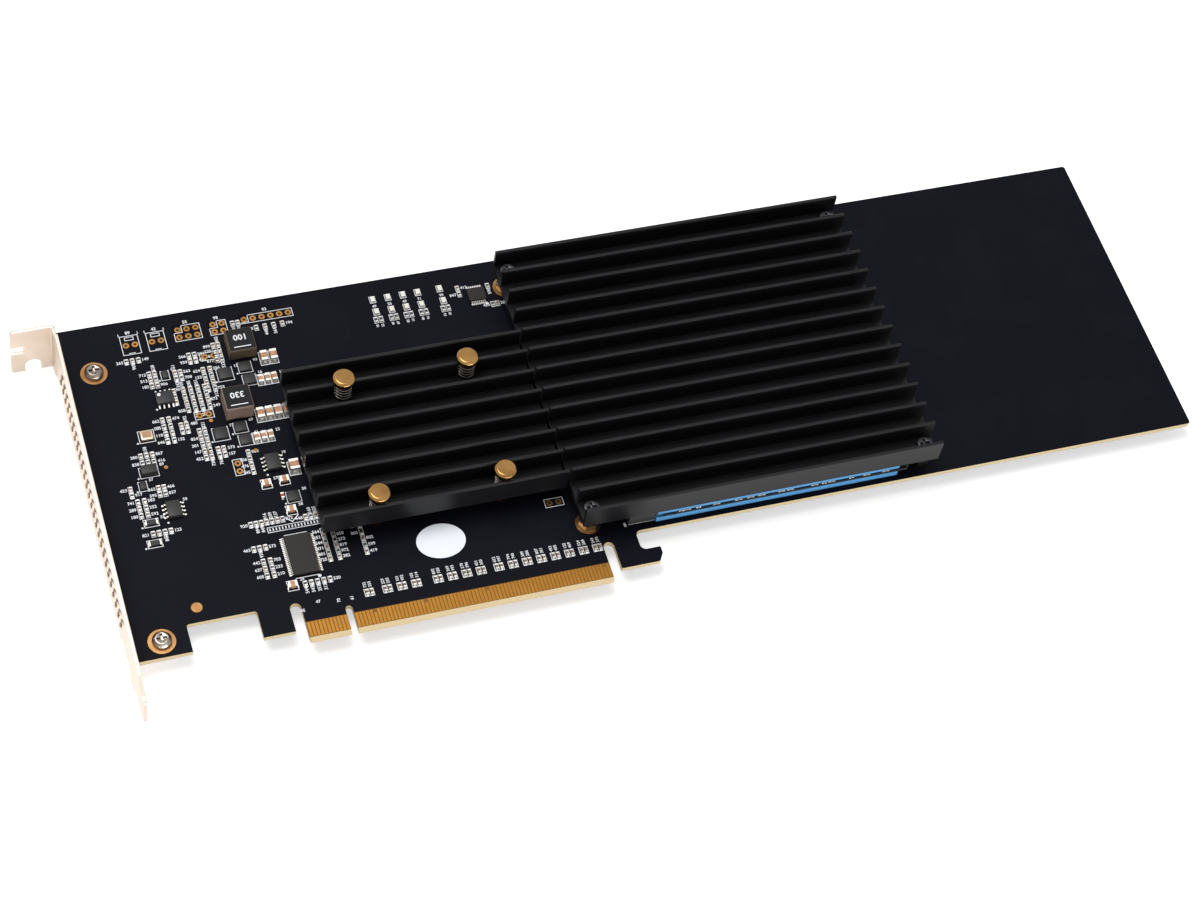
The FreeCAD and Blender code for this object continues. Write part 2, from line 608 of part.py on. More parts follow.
def finned_sink(left, length, front, bottom, fins):
    """A length of the extrusion: a flat base with upright fins along X."""
    width = (fins - 1) * FIN_PITCH + FIN_THICKNESS
    floor = bottom + FIN_BASE
    top = floor + FIN_HEIGHT
    profile = [(front, bottom, 0)]
    profile.append((front + width, bottom, 0))
    for i in reversed(range(fins)):
        fin_front = front + i * FIN_PITCH
        fin_rear = fin_front + FIN_THICKNESS
        if i < fins - 1:
            profile.append((fin_rear, floor, 0))
        profile.append((fin_rear, top - FIN_TIP_CHAMFER, 0))
        profile.append((fin_rear - FIN_TIP_CHAMFER, top, 0))
        profile.append((fin_front + FIN_TIP_CHAMFER, top, 0))
        profile.append((fin_front, top - FIN_TIP_CHAMFER, 0))
        if i > 0:
            profile.append((fin_front, floor, 0))
    wire = rounded_outline(profile, lambda u, v: Vector(left, u, v))
    return Part.Face(wire).extrude(Vector(length, 0, 0))


def drive_heatsink():
    sink = finned_sink(DRIVE_SINK_LEFT, DRIVE_SINK_RIGHT - DRIVE_SINK_LEFT, DRIVE_SINK_FRONT,
                       DRIVE_SINK_BOTTOM, DRIVE_SINK_FINS)
    radius = SINK_SCREW_RADIUS + HOLE_CLEARANCE
    return sink.cut([rod(x, y, DRIVE_SINK_BOTTOM - 1, DRIVE_SINK_BOTTOM + FIN_BASE + 1, radius)
                     for x, y in POSTS])


def switch_heatsink():
    sink = finned_sink(SWITCH_SINK_LEFT, SWITCH_SINK_LENGTH, SWITCH_SINK_FRONT, SWITCH_SINK_BOTTOM,
                       SWITCH_SINK_FINS)
    floor = SWITCH_SINK_BOTTOM + FIN_BASE
    tools = []
    for x, y in PINS:
        tools.append(rod(x, y, floor, floor + FIN_HEIGHT + 1, SPRING_RADIUS + SPRING_WIRE + SPRING_CLEARANCE))
        tools.append(rod(x, y, SWITCH_SINK_BOTTOM - 1, floor + 1, PIN_SHANK_RADIUS + HOLE_CLEARANCE))
    return sink.cut(tools)


def heatsink_post(x, y):
    """A hexagonal post soldered to the board, tapped from the top."""
    post = hexagon(x, y, 0, DRIVE_SINK_BOTTOM, POST_ACROSS)
    floor = DRIVE_SINK_BOTTOM - SINK_SCREW_GRIP - HOLE_CLEARANCE
    return post.cut(rod(x, y, floor, DRIVE_SINK_BOTTOM + 1, POST_BORE))


def heatsink_screw(x, y):
    seat = DRIVE_SINK_BOTTOM + FIN_BASE
    top = seat + SINK_HEAD_HEIGHT
    tip = DRIVE_SINK_BOTTOM - SINK_SCREW_GRIP
    head = rod(x, y, seat, top, SINK_HEAD_RADIUS)
    return head.fuse(rod(x, y, tip, seat, SINK_SCREW_RADIUS)).cut(cross_recess(x, y, top))


def push_pin(x, y):
    """A flat-topped head on a shank whose barb snaps through the board."""
    under_head = PIN_TOP - PIN_HEAD_HEIGHT
    barb_top = BOARD_BACK - 0.1
    tip = barb_top - PIN_BARB_REACH
    return turned(x, y, [
        (0, tip), (0.5 * PIN_SHANK_RADIUS, tip), (PIN_BARB_RADIUS, barb_top), (PIN_SHANK_RADIUS, barb_top),
        (PIN_SHANK_RADIUS, under_head), (PIN_HEAD_RADIUS, under_head),
        (PIN_HEAD_RADIUS, PIN_TOP - PIN_HEAD_CHAMFER), (PIN_HEAD_RADIUS - PIN_HEAD_CHAMFER, PIN_TOP),
        (0, PIN_TOP),
    ])


def pin_spring(x, y):
    """The spring between the heatsink floor and a pin's head, coiled from short straight lengths."""
    low = SWITCH_SINK_BOTTOM + FIN_BASE + SPRING_WIRE
    high = PIN_TOP - PIN_HEAD_HEIGHT - SPRING_WIRE
    count = SPRING_TURNS * SPRING_SIDES
    coil = []
    for i in range(count + 1):
        angle = 2 * math.pi * i / SPRING_SIDES
        coil.append(Vector(x + SPRING_RADIUS * math.cos(angle), y + SPRING_RADIUS * math.sin(angle),
                           low + (high - low) * i / count))
    path = Part.makePolygon(coil)
    corners = []
    for a in (-60, 60, 180, 300):
        turn = math.radians(a)
        corners.append(coil[0] + Vector(SPRING_WIRE * math.cos(turn), 0, SPRING_WIRE * math.sin(turn)))
    return path.makePipeShell([Part.makePolygon(corners)], True, True, 1)


def switch_package():
    return block(PIN_CENTRE, (SWITCH_PACKAGE, SWITCH_PACKAGE, SWITCH_PACKAGE_HEIGHT), 0)


def switch_lid():
    half = SWITCH_LID / 2
    x, y = PIN_CENTRE
    lid = block(PIN_CENTRE, (SWITCH_LID, SWITCH_LID, SWITCH_LID_HEIGHT), SWITCH_PACKAGE_HEIGHT)
    top_edges = [e for e in lid.Edges
                 if e.BoundBox.ZMin > SWITCH_PAD_BOTTOM - 0.01 and e.BoundBox.ZMax < SWITCH_PAD_BOTTOM + 0.01]
    assert abs(lid.BoundBox.XMax - x - half) < 0.01 and abs(lid.BoundBox.YMax - y - half) < 0.01
    return lid.makeChamfer(SWITCH_LID_CHAMFER, top_edges)


def switch_thermal_pad():
    side = SWITCH_LID - 2 * SWITCH_LID_CHAMFER
    return block(PIN_CENTRE, (side, side, SWITCH_SINK_BOTTOM - SWITCH_PAD_BOTTOM), SWITCH_PAD_BOTTOM)


def drive_board(centre):
    """An M.2 board with its narrow keyed tongue at the socket and a half hole at the far end."""
    half = DRIVE_WIDTH / 2
    narrow = DRIVE_TONGUE_WIDTH / 2
    tongue_end = DRIVE_LEFT + SOCKET_DEPTH - SOCKET_SEAT + SLOT_CLEARANCE
    board = box(tongue_end, DRIVE_RIGHT, centre - half, centre + half, DRIVE_LEVEL, DRIVE_TOP)
    tongue = box(DRIVE_LEFT, tongue_end, centre - narrow, centre + narrow, DRIVE_LEVEL, DRIVE_TOP)
    key_front = centre + DRIVE_KEY_OFFSET - DRIVE_KEY_WIDTH / 2
    key = box(DRIVE_LEFT - 1, DRIVE_LEFT + DRIVE_KEY_DEPTH, key_front, key_front + DRIVE_KEY_WIDTH,
              DRIVE_LEVEL - 1, DRIVE_TOP + 1)
    hole = rod(DRIVE_RIGHT, centre, DRIVE_LEVEL - 1, DRIVE_TOP + 1, DRIVE_HOLE_RADIUS)
    return board.fuse(tongue).removeSplitter().cut([key, hole])


def drive_socket(centre):
    """A card-edge socket that opens towards +X; its lower jaw is the shorter one."""
    right = SOCKET_LEFT + SOCKET_DEPTH
    half = SOCKET_WIDTH / 2
    low = DRIVE_LEVEL - SLOT_CLEARANCE
    high = DRIVE_TOP + SLOT_CLEARANCE
    seat = DRIVE_LEFT - SLOT_CLEARANCE
    mouth = DRIVE_TONGUE_WIDTH / 2 + SLOT_CLEARANCE
    body = box(SOCKET_LEFT, right, centre - half, centre + half, 0, SOCKET_HEIGHT)
    slot = box(seat, right + 1, centre - mouth, centre + mouth, low, high)
    under = box(right - SOCKET_LOWER_LIP, right + 1, centre - mouth, centre + mouth, -1, high)
    key_front = centre + DRIVE_KEY_OFFSET - DRIVE_KEY_WIDTH / 2 + SLOT_CLEARANCE
    key = box(seat, DRIVE_LEFT + DRIVE_KEY_DEPTH - SLOT_CLEARANCE, key_front,
              key_front + DRIVE_KEY_WIDTH - 2 * SLOT_CLEARANCE, low, high)
    return body.cut([slot.cut(key), under])


def chip_places(centre):
    """The packages on one drive: (centre X, centre Y, size X, size Y, above the board)."""
    step = DRIVE_LENGTH / 100
    places = [(DRIVE_LEFT + CONTROLLER_ALONG * step, centre) + CONTROLLER_SIZE + (True,),
              (DRIVE_LEFT + BUFFER_ALONG * step, centre) + BUFFER_SIZE + (True,)]
    for along in MEMORY_ALONG:
        places.append((DRIVE_LEFT + along * step, centre) + MEMORY_SIZE + (True,))
        places.append((DRIVE_LEFT + along * step, centre) + MEMORY_SIZE + (False,))
    return places


def package(place, grow=0.0):
    x, y, length, width, above = place
    z0 = DRIVE_TOP if above else DRIVE_LEVEL - CHIP_THICKNESS
    return box(x - length / 2 - grow, x + length / 2 + grow, y - width / 2 - grow, y + width / 2 + grow,
               z0, z0 + CHIP_THICKNESS)


def drive_packages(sizes):
    """The packages of the given sizes on all four drives."""
    chosen = [p for centre in DRIVE_CENTRES for p in chip_places(centre) if p[2:4] in sizes]
    return Part.makeCompound([package(p) for p in chosen])


def thermal_pad(centre, z0, z1):
    """A soft pad beside one face of a drive, pressed in where the packages stand proud."""
    left = SOCKET_LEFT + SOCKET_DEPTH
    right = DRIVE_RIGHT - STANDOFF_ACROSS / math.sqrt(3) - THERMAL_PAD_STOP
    front = centre - DRIVE_WIDTH / 2 - THERMAL_PAD_PROUD
    back = centre + DRIVE_WIDTH / 2 - THERMAL_PAD_INSET
    pad = box(left, right, front, back, z0, z1)
    return pad.cut([package(p, PAD_POCKET_CLEARANCE) for p in chip_places(centre)])


def upper_thermal_pad(centre):
    return thermal_pad(centre, DRIVE_TOP + UPPER_PAD_GAP, DRIVE_SINK_BOTTOM)


def lower_thermal_pad(centre):
    return thermal_pad(centre, 0, LOWER_PAD_THICKNESS)


def drive_standoff(centre):
    post = hexagon(DRIVE_RIGHT, centre, 0, DRIVE_LEVEL, STANDOFF_ACROSS)
    return post.cut(rod(DRIVE_RIGHT, centre, STANDOFF_FLOOR, DRIVE_LEVEL + 1, STANDOFF_BORE))


def drive_screw(centre):
    top = DRIVE_TOP + DRIVE_HEAD_HEIGHT
    low = STANDOFF_FLOOR + HOLE_CLEARANCE
    head = rod(DRIVE_RIGHT, centre, DRIVE_TOP, top, DRIVE_HEAD_RADIUS)
    shank = rod(DRIVE_RIGHT, centre, low, DRIVE_TOP, DRIVE_SCREW_RADIUS)
    slot = block((DRIVE_RIGHT, centre), DRIVE_SCREW_SLOT, top - DRIVE_SCREW_SLOT[2] / 2)
    return head.fuse(shank).cut(slot)


def power_inductor(place, height):
    """A moulded inductor with chamfered top edges."""
    body = stand(place, (INDUCTOR_SIZE, INDUCTOR_SIZE, height))
    edges = [e for e in body.Edges if e.BoundBox.ZMin > height - 0.01]
    return body.makeChamfer(INDUCTOR_CHAMFER, edges)


def in_rows(rows, size):
    return [stand((x + i * step, level), size) for x, level, count, step in rows for i in range(int(count))]


def bulk_capacitors():
    parts = in_rows(BULK_ROWS, BULK_CAPACITOR)
    parts.append(stand(TALL_CAPACITOR, TALL_CAPACITOR_SIZE))
    return Part.makeCompound(parts)


def filter_capacitors():
    parts = in_rows(FILTER_ROWS, FILTER_CAPACITOR)
    parts += [stand(place, CROSS_CAPACITOR) for place in CROSS_CAPACITORS]
    return Part.makeCompound(parts)


def small_part_places():
    places = []
    for x0, level, columns, rows, step_x, step_up in SMALL_BLOCKS:
        for column in range(int(columns)):
            for row in range(int(rows)):
                places.append((x0 + column * step_x, level + row * step_up))
    return places


def small_parts(odd):
    """Every other small part: the even ones are resistors and the odd ones capacitors."""
    places = small_part_places()[int(odd)::2]
    return Part.makeCompound([stand(place, SMALL_PART) for place in places])


def led_resistors():
    half = LED_RESISTOR_SPREAD / 2
    places = [(x + side, LED_RESISTOR_ROW) for x in LED_COLUMNS for side in (-half, half)]
    return Part.makeCompound([stand(place, LED_RESISTOR) for place in places])


def coupling_capacitors():
    parts = []
    contacts = contact_places()
    for number in LANE_CONTACTS:
        middle = contacts[int(number) - 1] + CONTACT_PITCH / 2 + LANE_OFFSET
        for side in (-LANE_SPREAD, LANE_SPREAD):
            parts.append(block((middle + side, LANE_LEVEL), COUPLING_CAPACITOR, 0))
    return Part.makeCompound(parts)


def gull_wing(x, y, outward, width):
    """One bent lead that leaves a package and lands flat on the board."""
    high = LEAD_LEVEL
    thin = LEAD_THICKNESS
    knee = LEAD_REACH / 3
    ankle = LEAD_REACH / 2
    section = [(0, high), (knee, high), (ankle, thin), (LEAD_REACH, thin), (LEAD_REACH, 0),
               (ankle - thin / 2, 0), (knee - thin / 2, high - thin), (0, high - thin)]
    if outward[0]:
        points = [Vector(x + outward[0] * u, y - width / 2, v) for u, v in section]
        along = Vector(0, width, 0)
    else:
        points = [Vector(x - width / 2, y + outward[1] * u, v) for u, v in section]
        along = Vector(width, 0, 0)
    return Part.Face(Part.makePolygon(points + [points[0]])).extrude(along)


def eight_pin_places():
    """Centre, body size and whether the leads leave along Y, for each eight-lead chip."""
    length, width, height = EIGHT_PIN_BODY
    upright = [((x, up(level)), (length, width, height), False) for x, level in EIGHT_PIN_UPRIGHT]
    sideways = [((x, up(level)), (width, length, height), True) for x, level in EIGHT_PIN_SIDEWAYS]
    return upright + sideways


def raised_body(centre, size):
    return block(centre, (size[0], size[1], size[2] - BODY_CLEARANCE), BODY_CLEARANCE)


def eight_pin_bodies():
    return Part.makeCompound([raised_body(centre, size) for centre, size, _ in eight_pin_places()])


def eight_pin_leads():
    leads = []
    for (x, y), size, sideways in eight_pin_places():
        for i in range(4):
            along = (i - 1.5) * EIGHT_PIN_PITCH
            for side in (-1, 1):
                if sideways:
                    leads.append(gull_wing(x + along, y + side * size[1] / 2, (0, side), LEAD_WIDTH))
                else:
                    leads.append(gull_wing(x + side * size[0] / 2, y + along, (side, 0), LEAD_WIDTH))
    return Part.makeCompound(leads)


def status_leds():
    places = [(x, level) for x in LED_COLUMNS for level in LED_ROWS]
    return Part.makeCompound([stand(place, LED_SIZE) for place in places])


def blank_label():
    """A plain oval sticker."""
    centre = Vector(BLANK_LABEL[0], up(BLANK_LABEL[1]), 0)
    ellipse = Part.Ellipse(centre, LABEL_SIZE[0] / 2, LABEL_SIZE[1] / 2)
    return Part.Face(Part.Wire(ellipse.toShape())).extrude(Vector(0, 0, LABEL_THICKNESS))


def several(places, size):
    return Part.makeCompound([stand(place, size) for place in places])


def singles():
    """Every node that is one piece, or one group of like pieces."""
    memory_centre = (MEMORY_CHIP[0], up(MEMORY_CHIP[1]))
    driver_centre = (LED_DRIVER[0], up(LED_DRIVER[1]))
    return {
        "circuit_board": circuit_board(),
        "edge_contacts": edge_contacts(),
        "bracket": bracket(),
        "bracket_screws": Part.makeCompound([bracket_screw(x, y) for x, y in BRACKET_SCREWS]),
        "drive_heatsink": drive_heatsink(),
        "heatsink_posts": Part.makeCompound([heatsink_post(x, y) for x, y in POSTS]),
        "heatsink_screws": Part.makeCompound([heatsink_screw(x, y) for x, y in POSTS]),
        "switch_heatsink": switch_heatsink(),
        "push_pins": Part.makeCompound([push_pin(x, y) for x, y in PINS]),
        "pin_springs": Part.makeCompound([pin_spring(x, y) for x, y in PINS]),
        "switch_package": switch_package(),
        "switch_lid": switch_lid(),
        "switch_thermal_pad": switch_thermal_pad(),
        "drive_controllers": drive_packages((CONTROLLER_SIZE,)),
        "drive_buffer_chips": drive_packages((BUFFER_SIZE,)),
        "drive_memory_chips": drive_packages((MEMORY_SIZE,)),
        "drive_standoffs": Part.makeCompound([drive_standoff(c) for c in DRIVE_CENTRES]),
        "drive_screws": Part.makeCompound([drive_screw(c) for c in DRIVE_CENTRES]),
        "bulk_capacitors": bulk_capacitors(),
        "filter_capacitors": filter_capacitors(),
        "small_resistors": small_parts(False),
        "small_capacitors": small_parts(True),
        "led_resistors": led_resistors(),
        "coupling_capacitors": coupling_capacitors(),
        "power_transistors": several(POWER_CHIPS, POWER_CHIP),
        "power_controllers": several(CONTROL_CHIPS, CONTROL_CHIP),
        "eight_pin_chips": eight_pin_bodies(),
        "eight_pin_leads": eight_pin_leads(),
        "memory_chip": raised_body(memory_centre, MEMORY_BODY),
        "led_driver": raised_body(driver_centre, DRIVER_BODY),
        "status_leds": status_leds(),
        "oscillator": stand(OSCILLATOR, OSCILLATOR_SIZE),
        "power_diode": stand(DIODE, DIODE_SIZE),
        "small_transistors": several(TRANSISTORS, TRANSISTOR_SIZE),
        "two_lead_parts": several(TWO_LEAD_PARTS, TWO_LEAD_SIZE),
        "blank_label": blank_label(),
    }


def numbered():
    """The nodes that repeat for each drive, and the two inductors."""
    nodes = {}
    for number, centre in enumerate(DRIVE_CENTRES, start=1):
        nodes["drive_board_%d" % number] = drive_board(centre)
        nodes["drive_socket_%d" % number] = drive_socket(centre)
        nodes["upper_thermal_pad_%d" % number] = upper_thermal_pad(centre)
        nodes["lower_thermal_pad_%d" % number] = lower_thermal_pad(centre)
    for number, (place, height) in enumerate(zip(INDUCTORS, INDUCTOR_HEIGHTS), start=1):
        nodes["power_inductor_%d" % number] = power_inductor(place, height)
    return nodes


def main():
    os.makedirs("parts", exist_ok=True)
    nodes = singles()
    nodes.update(numbered())
    for name, shape in nodes.items():
        if not shape.isValid():
            raise ValueError(name + " is not a valid solid")
        shape.exportStep("parts/" + name + ".step")
    print(len(nodes), "nodes")


main()
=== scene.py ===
"""The look of the NVMe adapter card: finishes, printed marks, solder, leads and fine parts over the CAD.

It is laid out as a Blender add-on. Each piece has its own operator, the sizes are in the scene's
card_look properties, and main() runs the operators in order.
"""
import math
import random

import bmesh
import bpy
from mathutils import Matrix, Vector


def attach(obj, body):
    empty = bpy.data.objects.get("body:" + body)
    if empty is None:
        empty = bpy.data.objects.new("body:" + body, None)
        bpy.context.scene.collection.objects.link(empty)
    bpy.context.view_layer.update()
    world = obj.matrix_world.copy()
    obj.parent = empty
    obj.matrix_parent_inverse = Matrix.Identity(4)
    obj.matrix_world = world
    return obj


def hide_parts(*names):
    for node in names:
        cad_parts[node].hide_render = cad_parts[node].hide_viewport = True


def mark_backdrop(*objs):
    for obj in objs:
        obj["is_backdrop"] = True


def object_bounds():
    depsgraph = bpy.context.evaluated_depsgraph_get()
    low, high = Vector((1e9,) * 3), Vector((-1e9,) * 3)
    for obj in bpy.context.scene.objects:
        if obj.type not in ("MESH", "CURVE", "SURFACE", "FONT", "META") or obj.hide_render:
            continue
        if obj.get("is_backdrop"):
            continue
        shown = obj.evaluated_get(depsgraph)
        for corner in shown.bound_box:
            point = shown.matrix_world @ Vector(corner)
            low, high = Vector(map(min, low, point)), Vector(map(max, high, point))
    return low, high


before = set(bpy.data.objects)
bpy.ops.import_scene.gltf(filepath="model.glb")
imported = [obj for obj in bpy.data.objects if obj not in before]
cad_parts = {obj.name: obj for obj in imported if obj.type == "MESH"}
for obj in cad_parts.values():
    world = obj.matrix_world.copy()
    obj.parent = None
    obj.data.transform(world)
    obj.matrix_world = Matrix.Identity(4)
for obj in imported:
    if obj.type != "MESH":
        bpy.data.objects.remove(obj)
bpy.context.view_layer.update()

bl_info = {
    "name": "NVMe adapter card look",
    "version": (1, 0, 0),
    "blender": (4, 5, 0),
    "location": "View3D > Sidebar > Card",
    "description": "Finishes and fine detail for the adapter card",
    "category": "Object",
}

MM = 0.001
BOARD_THICKNESS = 1.57
PRINT_LIFT = 0.012             # printed marks above the solder mask, in millimetres
WHITE_INK = "silkscreen"
SHARP_ANGLE = math.radians(30.0)         # edges sharper than this are softened
SMOOTH_ANGLE = math.radians(35.0)        # faces are shaded smooth up to this
FLAT_ANGLE = math.radians(0.5)           # facets this close to flat are one face
BROAD_FACE = 20.0 * MM * MM              # a face this large is shaded flat to its borders

# Faint curved tracks behind the contacts: the arcs' centre, squash and radii, and their band in Y.
FAN_CENTRE = (38.0, 3.0)
FAN_FLATNESS = 3.2
FAN_RADII = (17.0, 31.0)
FAN_BAND = (12.5, 31.0)
FINGER_STRIP = (-12.2, 72.2, 5.85)       # left end, right end and top of the contact strip


# ---------------------------------------------------------------- shader graphs

MIX_FIRST, MIX_SECOND, MIX_RESULT = 6, 7, 2      # the Mix node's colour sockets


def feed(tree, socket, value):
    """Link a wire to a socket, or set the socket's own value, with alpha added to a colour."""
    if isinstance(value, Wire):
        tree.links.new(value.socket, socket)
    elif socket.type == "RGBA":
        socket.default_value = (*value, 1.0)
    else:
        socket.default_value = value


class Wire:
    """An output socket that can be used in arithmetic."""

    def __init__(self, graph, socket):
        self.graph = graph
        self.socket = socket

    def math(self, operation, *others, swap=False):
        operands = [self, *others]
        if swap:
            operands.reverse()
        return self.graph.add("ShaderNodeMath", operands, operation=operation)

    def __add__(self, other):
        return self.math("ADD", other)

    def __sub__(self, other):
        return self.math("SUBTRACT", other)

    def __mul__(self, other):
        return self.math("MULTIPLY", other)

    def __rsub__(self, other):
        return self.math("SUBTRACT", other, swap=True)

    __radd__ = __add__
    __rmul__ = __mul__

    def over(self, level):
        return self.math("GREATER_THAN", level)

    def under(self, level):
        return self.math("LESS_THAN", level)

    def between(self, low, high):
        return self.over(low) * self.under(high)

    def ramp(self, low, high):
        """0 below low, 1 above high, and a straight slope between them."""
        return self.graph.add("ShaderNodeMapRange", {"Value": self, "From Min": low, "From Max": high})


class Graph:
    """A material, or the world, under construction."""

    def __init__(self, name, kind="materials", shader="Principled BSDF"):
        self.owner = getattr(bpy.data, kind).new(name)
        self.owner.use_nodes = True
        self.tree = self.owner.node_tree
        self.shader = self.tree.nodes[shader]

    def add(self, kind, inputs=(), output=0, **settings):
        """A node of any kind; inputs are wires or plain values, in order or by name."""
        node = self.tree.nodes.new(kind)
        for key, value in settings.items():
            setattr(node, key, value)
        pairs = inputs.items() if isinstance(inputs, dict) else enumerate(inputs)
        for key, value in pairs:
            feed(self.tree, node.inputs[key], value)
        return Wire(self, node.outputs[output])

    def place(self):
        """Position on the card, in millimetres, as a vector."""
        here = self.add("ShaderNodeTexCoord", output="Object")
        return self.add("ShaderNodeVectorMath", {0: here, "Scale": 1 / MM}, operation="SCALE")

    def parts(self, vector):
        return [self.add("ShaderNodeSeparateXYZ", [vector], output=axis) for axis in "XYZ"]

    def stretched(self, vector, x, y, z):
        return self.add("ShaderNodeVectorMath", [vector, (x, y, z)], operation="MULTIPLY")

    def noise(self, vector, scale, detail=3.0):
        return self.add("ShaderNodeTexNoise", {"Vector": vector, "Scale": scale, "Detail": detail})

    def cells(self, vector, scale, output="Distance"):
        return self.add("ShaderNodeTexVoronoi", {"Vector": vector, "Scale": scale}, output=output)

    def mix(self, factor, first, second):
        """A colour between first and second."""
        return self.add("ShaderNodeMix", {0: factor, MIX_FIRST: first, MIX_SECOND: second},
                        output=MIX_RESULT, data_type="RGBA")

    def finish(self, bump=None, bump_depth=0.02, **inputs):
        """Connect or set the shader's inputs, with bump_depth in millimetres."""
        if bump is not None:
            inputs["Normal"] = self.add("ShaderNodeBump", {"Height": bump, "Distance": bump_depth * MM})
        for key, value in inputs.items():
            feed(self.tree, self.shader.inputs[key.replace("_", " ")], value)
        return self.owner


# ---------------------------------------------------------------- finishes

def solder_mask(name, mask, copper_tint, laminate, low, high, strip=None):
    """Solder mask over tracks, with bare laminate between low and high, where the cut edges are.

    strip is the left end, right end and top of the gold-toned ground between the contacts.
    """
    g = Graph(name)
    here = g.place()
    x, y, z = g.parts(here)
    edge = z.between(low, high)
    cloud = g.noise(here, 0.03, 2.0)
    grain = g.noise(here, 9.0, 2.0)
    runs = g.add("ShaderNodeTexWave", {"Vector": here, "Scale": 0.42, "Distortion": 1.6,
                                       "Detail": 1.0, "Detail Scale": 0.25}, bands_direction="DIAGONAL")
    tracks = runs.over(0.72) * g.noise(here, 0.055, 1.0).over(0.56)
    span_x = x - FAN_CENTRE[0]
    span_y = y - FAN_CENTRE[1]
    ring = (span_x * span_x + span_y * span_y * FAN_FLATNESS).math("SQRT", 0.0)
    fan = (ring * 0.9).math("FRACT", 0.0).over(0.6) * ring.between(*FAN_RADII) * y.between(*FAN_BAND)
    dots = g.cells(here, 0.42).under(0.12) * g.noise(here, 0.09, 1.0).over(0.5)
    relief = tracks.math("MAXIMUM", fan) * 0.6 + dots * 0.4
    face = g.mix(relief * 0.55 + fan * 0.45 + cloud * 0.2, mask, copper_tint)
    weave = g.add("ShaderNodeTexWave", {"Vector": g.stretched(here, 0.2, 0.2, 4.0), "Scale": 1.4,
                                        "Distortion": 2.0}, bands_direction="Z")
    bare = g.mix(weave, laminate, tuple(0.78 * c for c in laminate))
    if strip:
        left, right, top = strip
        face = g.mix(y.under(top) * z.over(high) * x.between(left, right), face, (0.24, 0.115, 0.026))
    return g.finish(relief + grain * 0.12, 0.02,
                    Base_Color=g.mix(edge, face, bare),
                    Roughness=edge * 0.25 + 0.36 + cloud * 0.14,
                    Specular_IOR_Level=0.05)


def plain_metal(name, colour, dark, roughness, streak=(1.0, 1.0, 1.0), depth=0.004):
    """Metal with fine streaks; streak stretches them along an axis."""
    g = Graph(name)
    here = g.place()
    lines = g.noise(g.stretched(here, *streak), 6.0, 4.0)
    cloud = g.noise(here, 0.12, 2.0)
    return g.finish(lines, depth, Base_Color=g.mix(cloud.ramp(0.3, 0.75), dark, colour),
                    Metallic=1.0, Roughness=lines * 0.12 + cloud * 0.1 + roughness)


def anodised(name, dark, light):
    """Anodised extrusion with faint die lines along X."""
    g = Graph(name)
    here = g.place()
    lines = g.noise(g.stretched(here, 0.02, 3.0, 3.0), 2.2, 4.0)
    grain = g.noise(here, 14.0, 2.0)
    cloud = g.noise(here, 0.05, 2.0)
    return g.finish(lines * 0.7 + grain * 0.3, 0.01,
                    Base_Color=g.mix(cloud, dark, light),
                    Roughness=lines * 0.16 + cloud * 0.1 + 0.26, Specular_IOR_Level=0.2)


def plated_gold(name):
    """Gold over copper, worn a little paler where the contacts wipe."""
    g = Graph(name)
    here = g.place()
    y = g.parts(here)[1]
    wipe = g.noise(g.stretched(here, 3.0, 0.15, 1.0), 2.0, 3.0)
    worn = wipe.over(0.62) * y.between(2.0, 4.4)
    colour = g.mix(wipe, (0.25, 0.105, 0.013), (0.38, 0.175, 0.028))
    return g.finish(wipe, 0.004, Base_Color=g.mix(worn * 0.35, colour, (0.44, 0.20, 0.05)),
                    Metallic=0.9, Roughness=wipe * 0.12 + 0.3)


def moulded(name, colour, speck=0.25, roughness=0.5, shine=0.5):
    """Moulded epoxy or plastic with a fine filler grain."""
    g = Graph(name)
    here = g.place()
    grain = g.noise(here, 7.0, 4.0)
    light = tuple(c * (1 + speck) + 0.006 for c in colour)
    return g.finish(grain, 0.012, Base_Color=g.mix(grain.ramp(0.35, 0.7), colour, light),
                    Roughness=grain * 0.16 + roughness, Specular_IOR_Level=shine)


def soft_pad(name, colour):
    """Silicone pad with a printed-in weave."""
    g = Graph(name)
    here = g.place()
    grain = g.noise(here, 3.5, 3.0)
    weave = g.cells(here, 1.6)
    ground = g.mix(grain, (0.045, 0.20, 0.46), colour)
    return g.finish(weave * 0.6 + grain * 0.4, 0.03,
                    Base_Color=g.mix(weave * 0.3, ground, (0.12, 0.40, 0.70)),
                    Roughness=grain * 0.1 + 0.55)


def ceramic(name, light, dark):
    g = Graph(name)
    here = g.place()
    tone = g.noise(here, 0.8, 1.0)
    grain = g.noise(here, 12.0, 2.0)
    return g.finish(grain, 0.01, Base_Color=g.mix(tone.ramp(0.35, 0.65), dark, light),
                    Roughness=grain * 0.14 + 0.38)


def pressed_powder(name, light, dark):
    """Pressed iron powder, with a coarse speckle."""
    g = Graph(name)
    here = g.place()
    speck = g.cells(here, 3.2)
    grain = g.noise(here, 6.0, 4.0)
    return g.finish(grain, 0.03, Base_Color=g.mix(speck * 0.6 + grain * 0.5, dark, light),
                    Roughness=grain * 0.2 + 0.5)


def printed_ink(name, colour):
    """Printed ink, a little thin in places."""
    g = Graph(name)
    here = g.place()
    thin = g.noise(here, 5.0, 3.0)
    return g.finish(thin, 0.006, Base_Color=g.mix(thin.ramp(0.25, 0.6), (0.58, 0.60, 0.64), colour),
                    Roughness=thin * 0.1 + 0.5)


def sticker_paper(name, colour):
    g = Graph(name)
    here = g.place()
    fibre = g.noise(g.stretched(here, 1.0, 2.5, 1.0), 4.0, 4.0)
    return g.finish(fibre, 0.01, Base_Color=g.mix(fibre, (0.80, 0.84, 0.92), colour),
                    Roughness=fibre * 0.15 + 0.5)


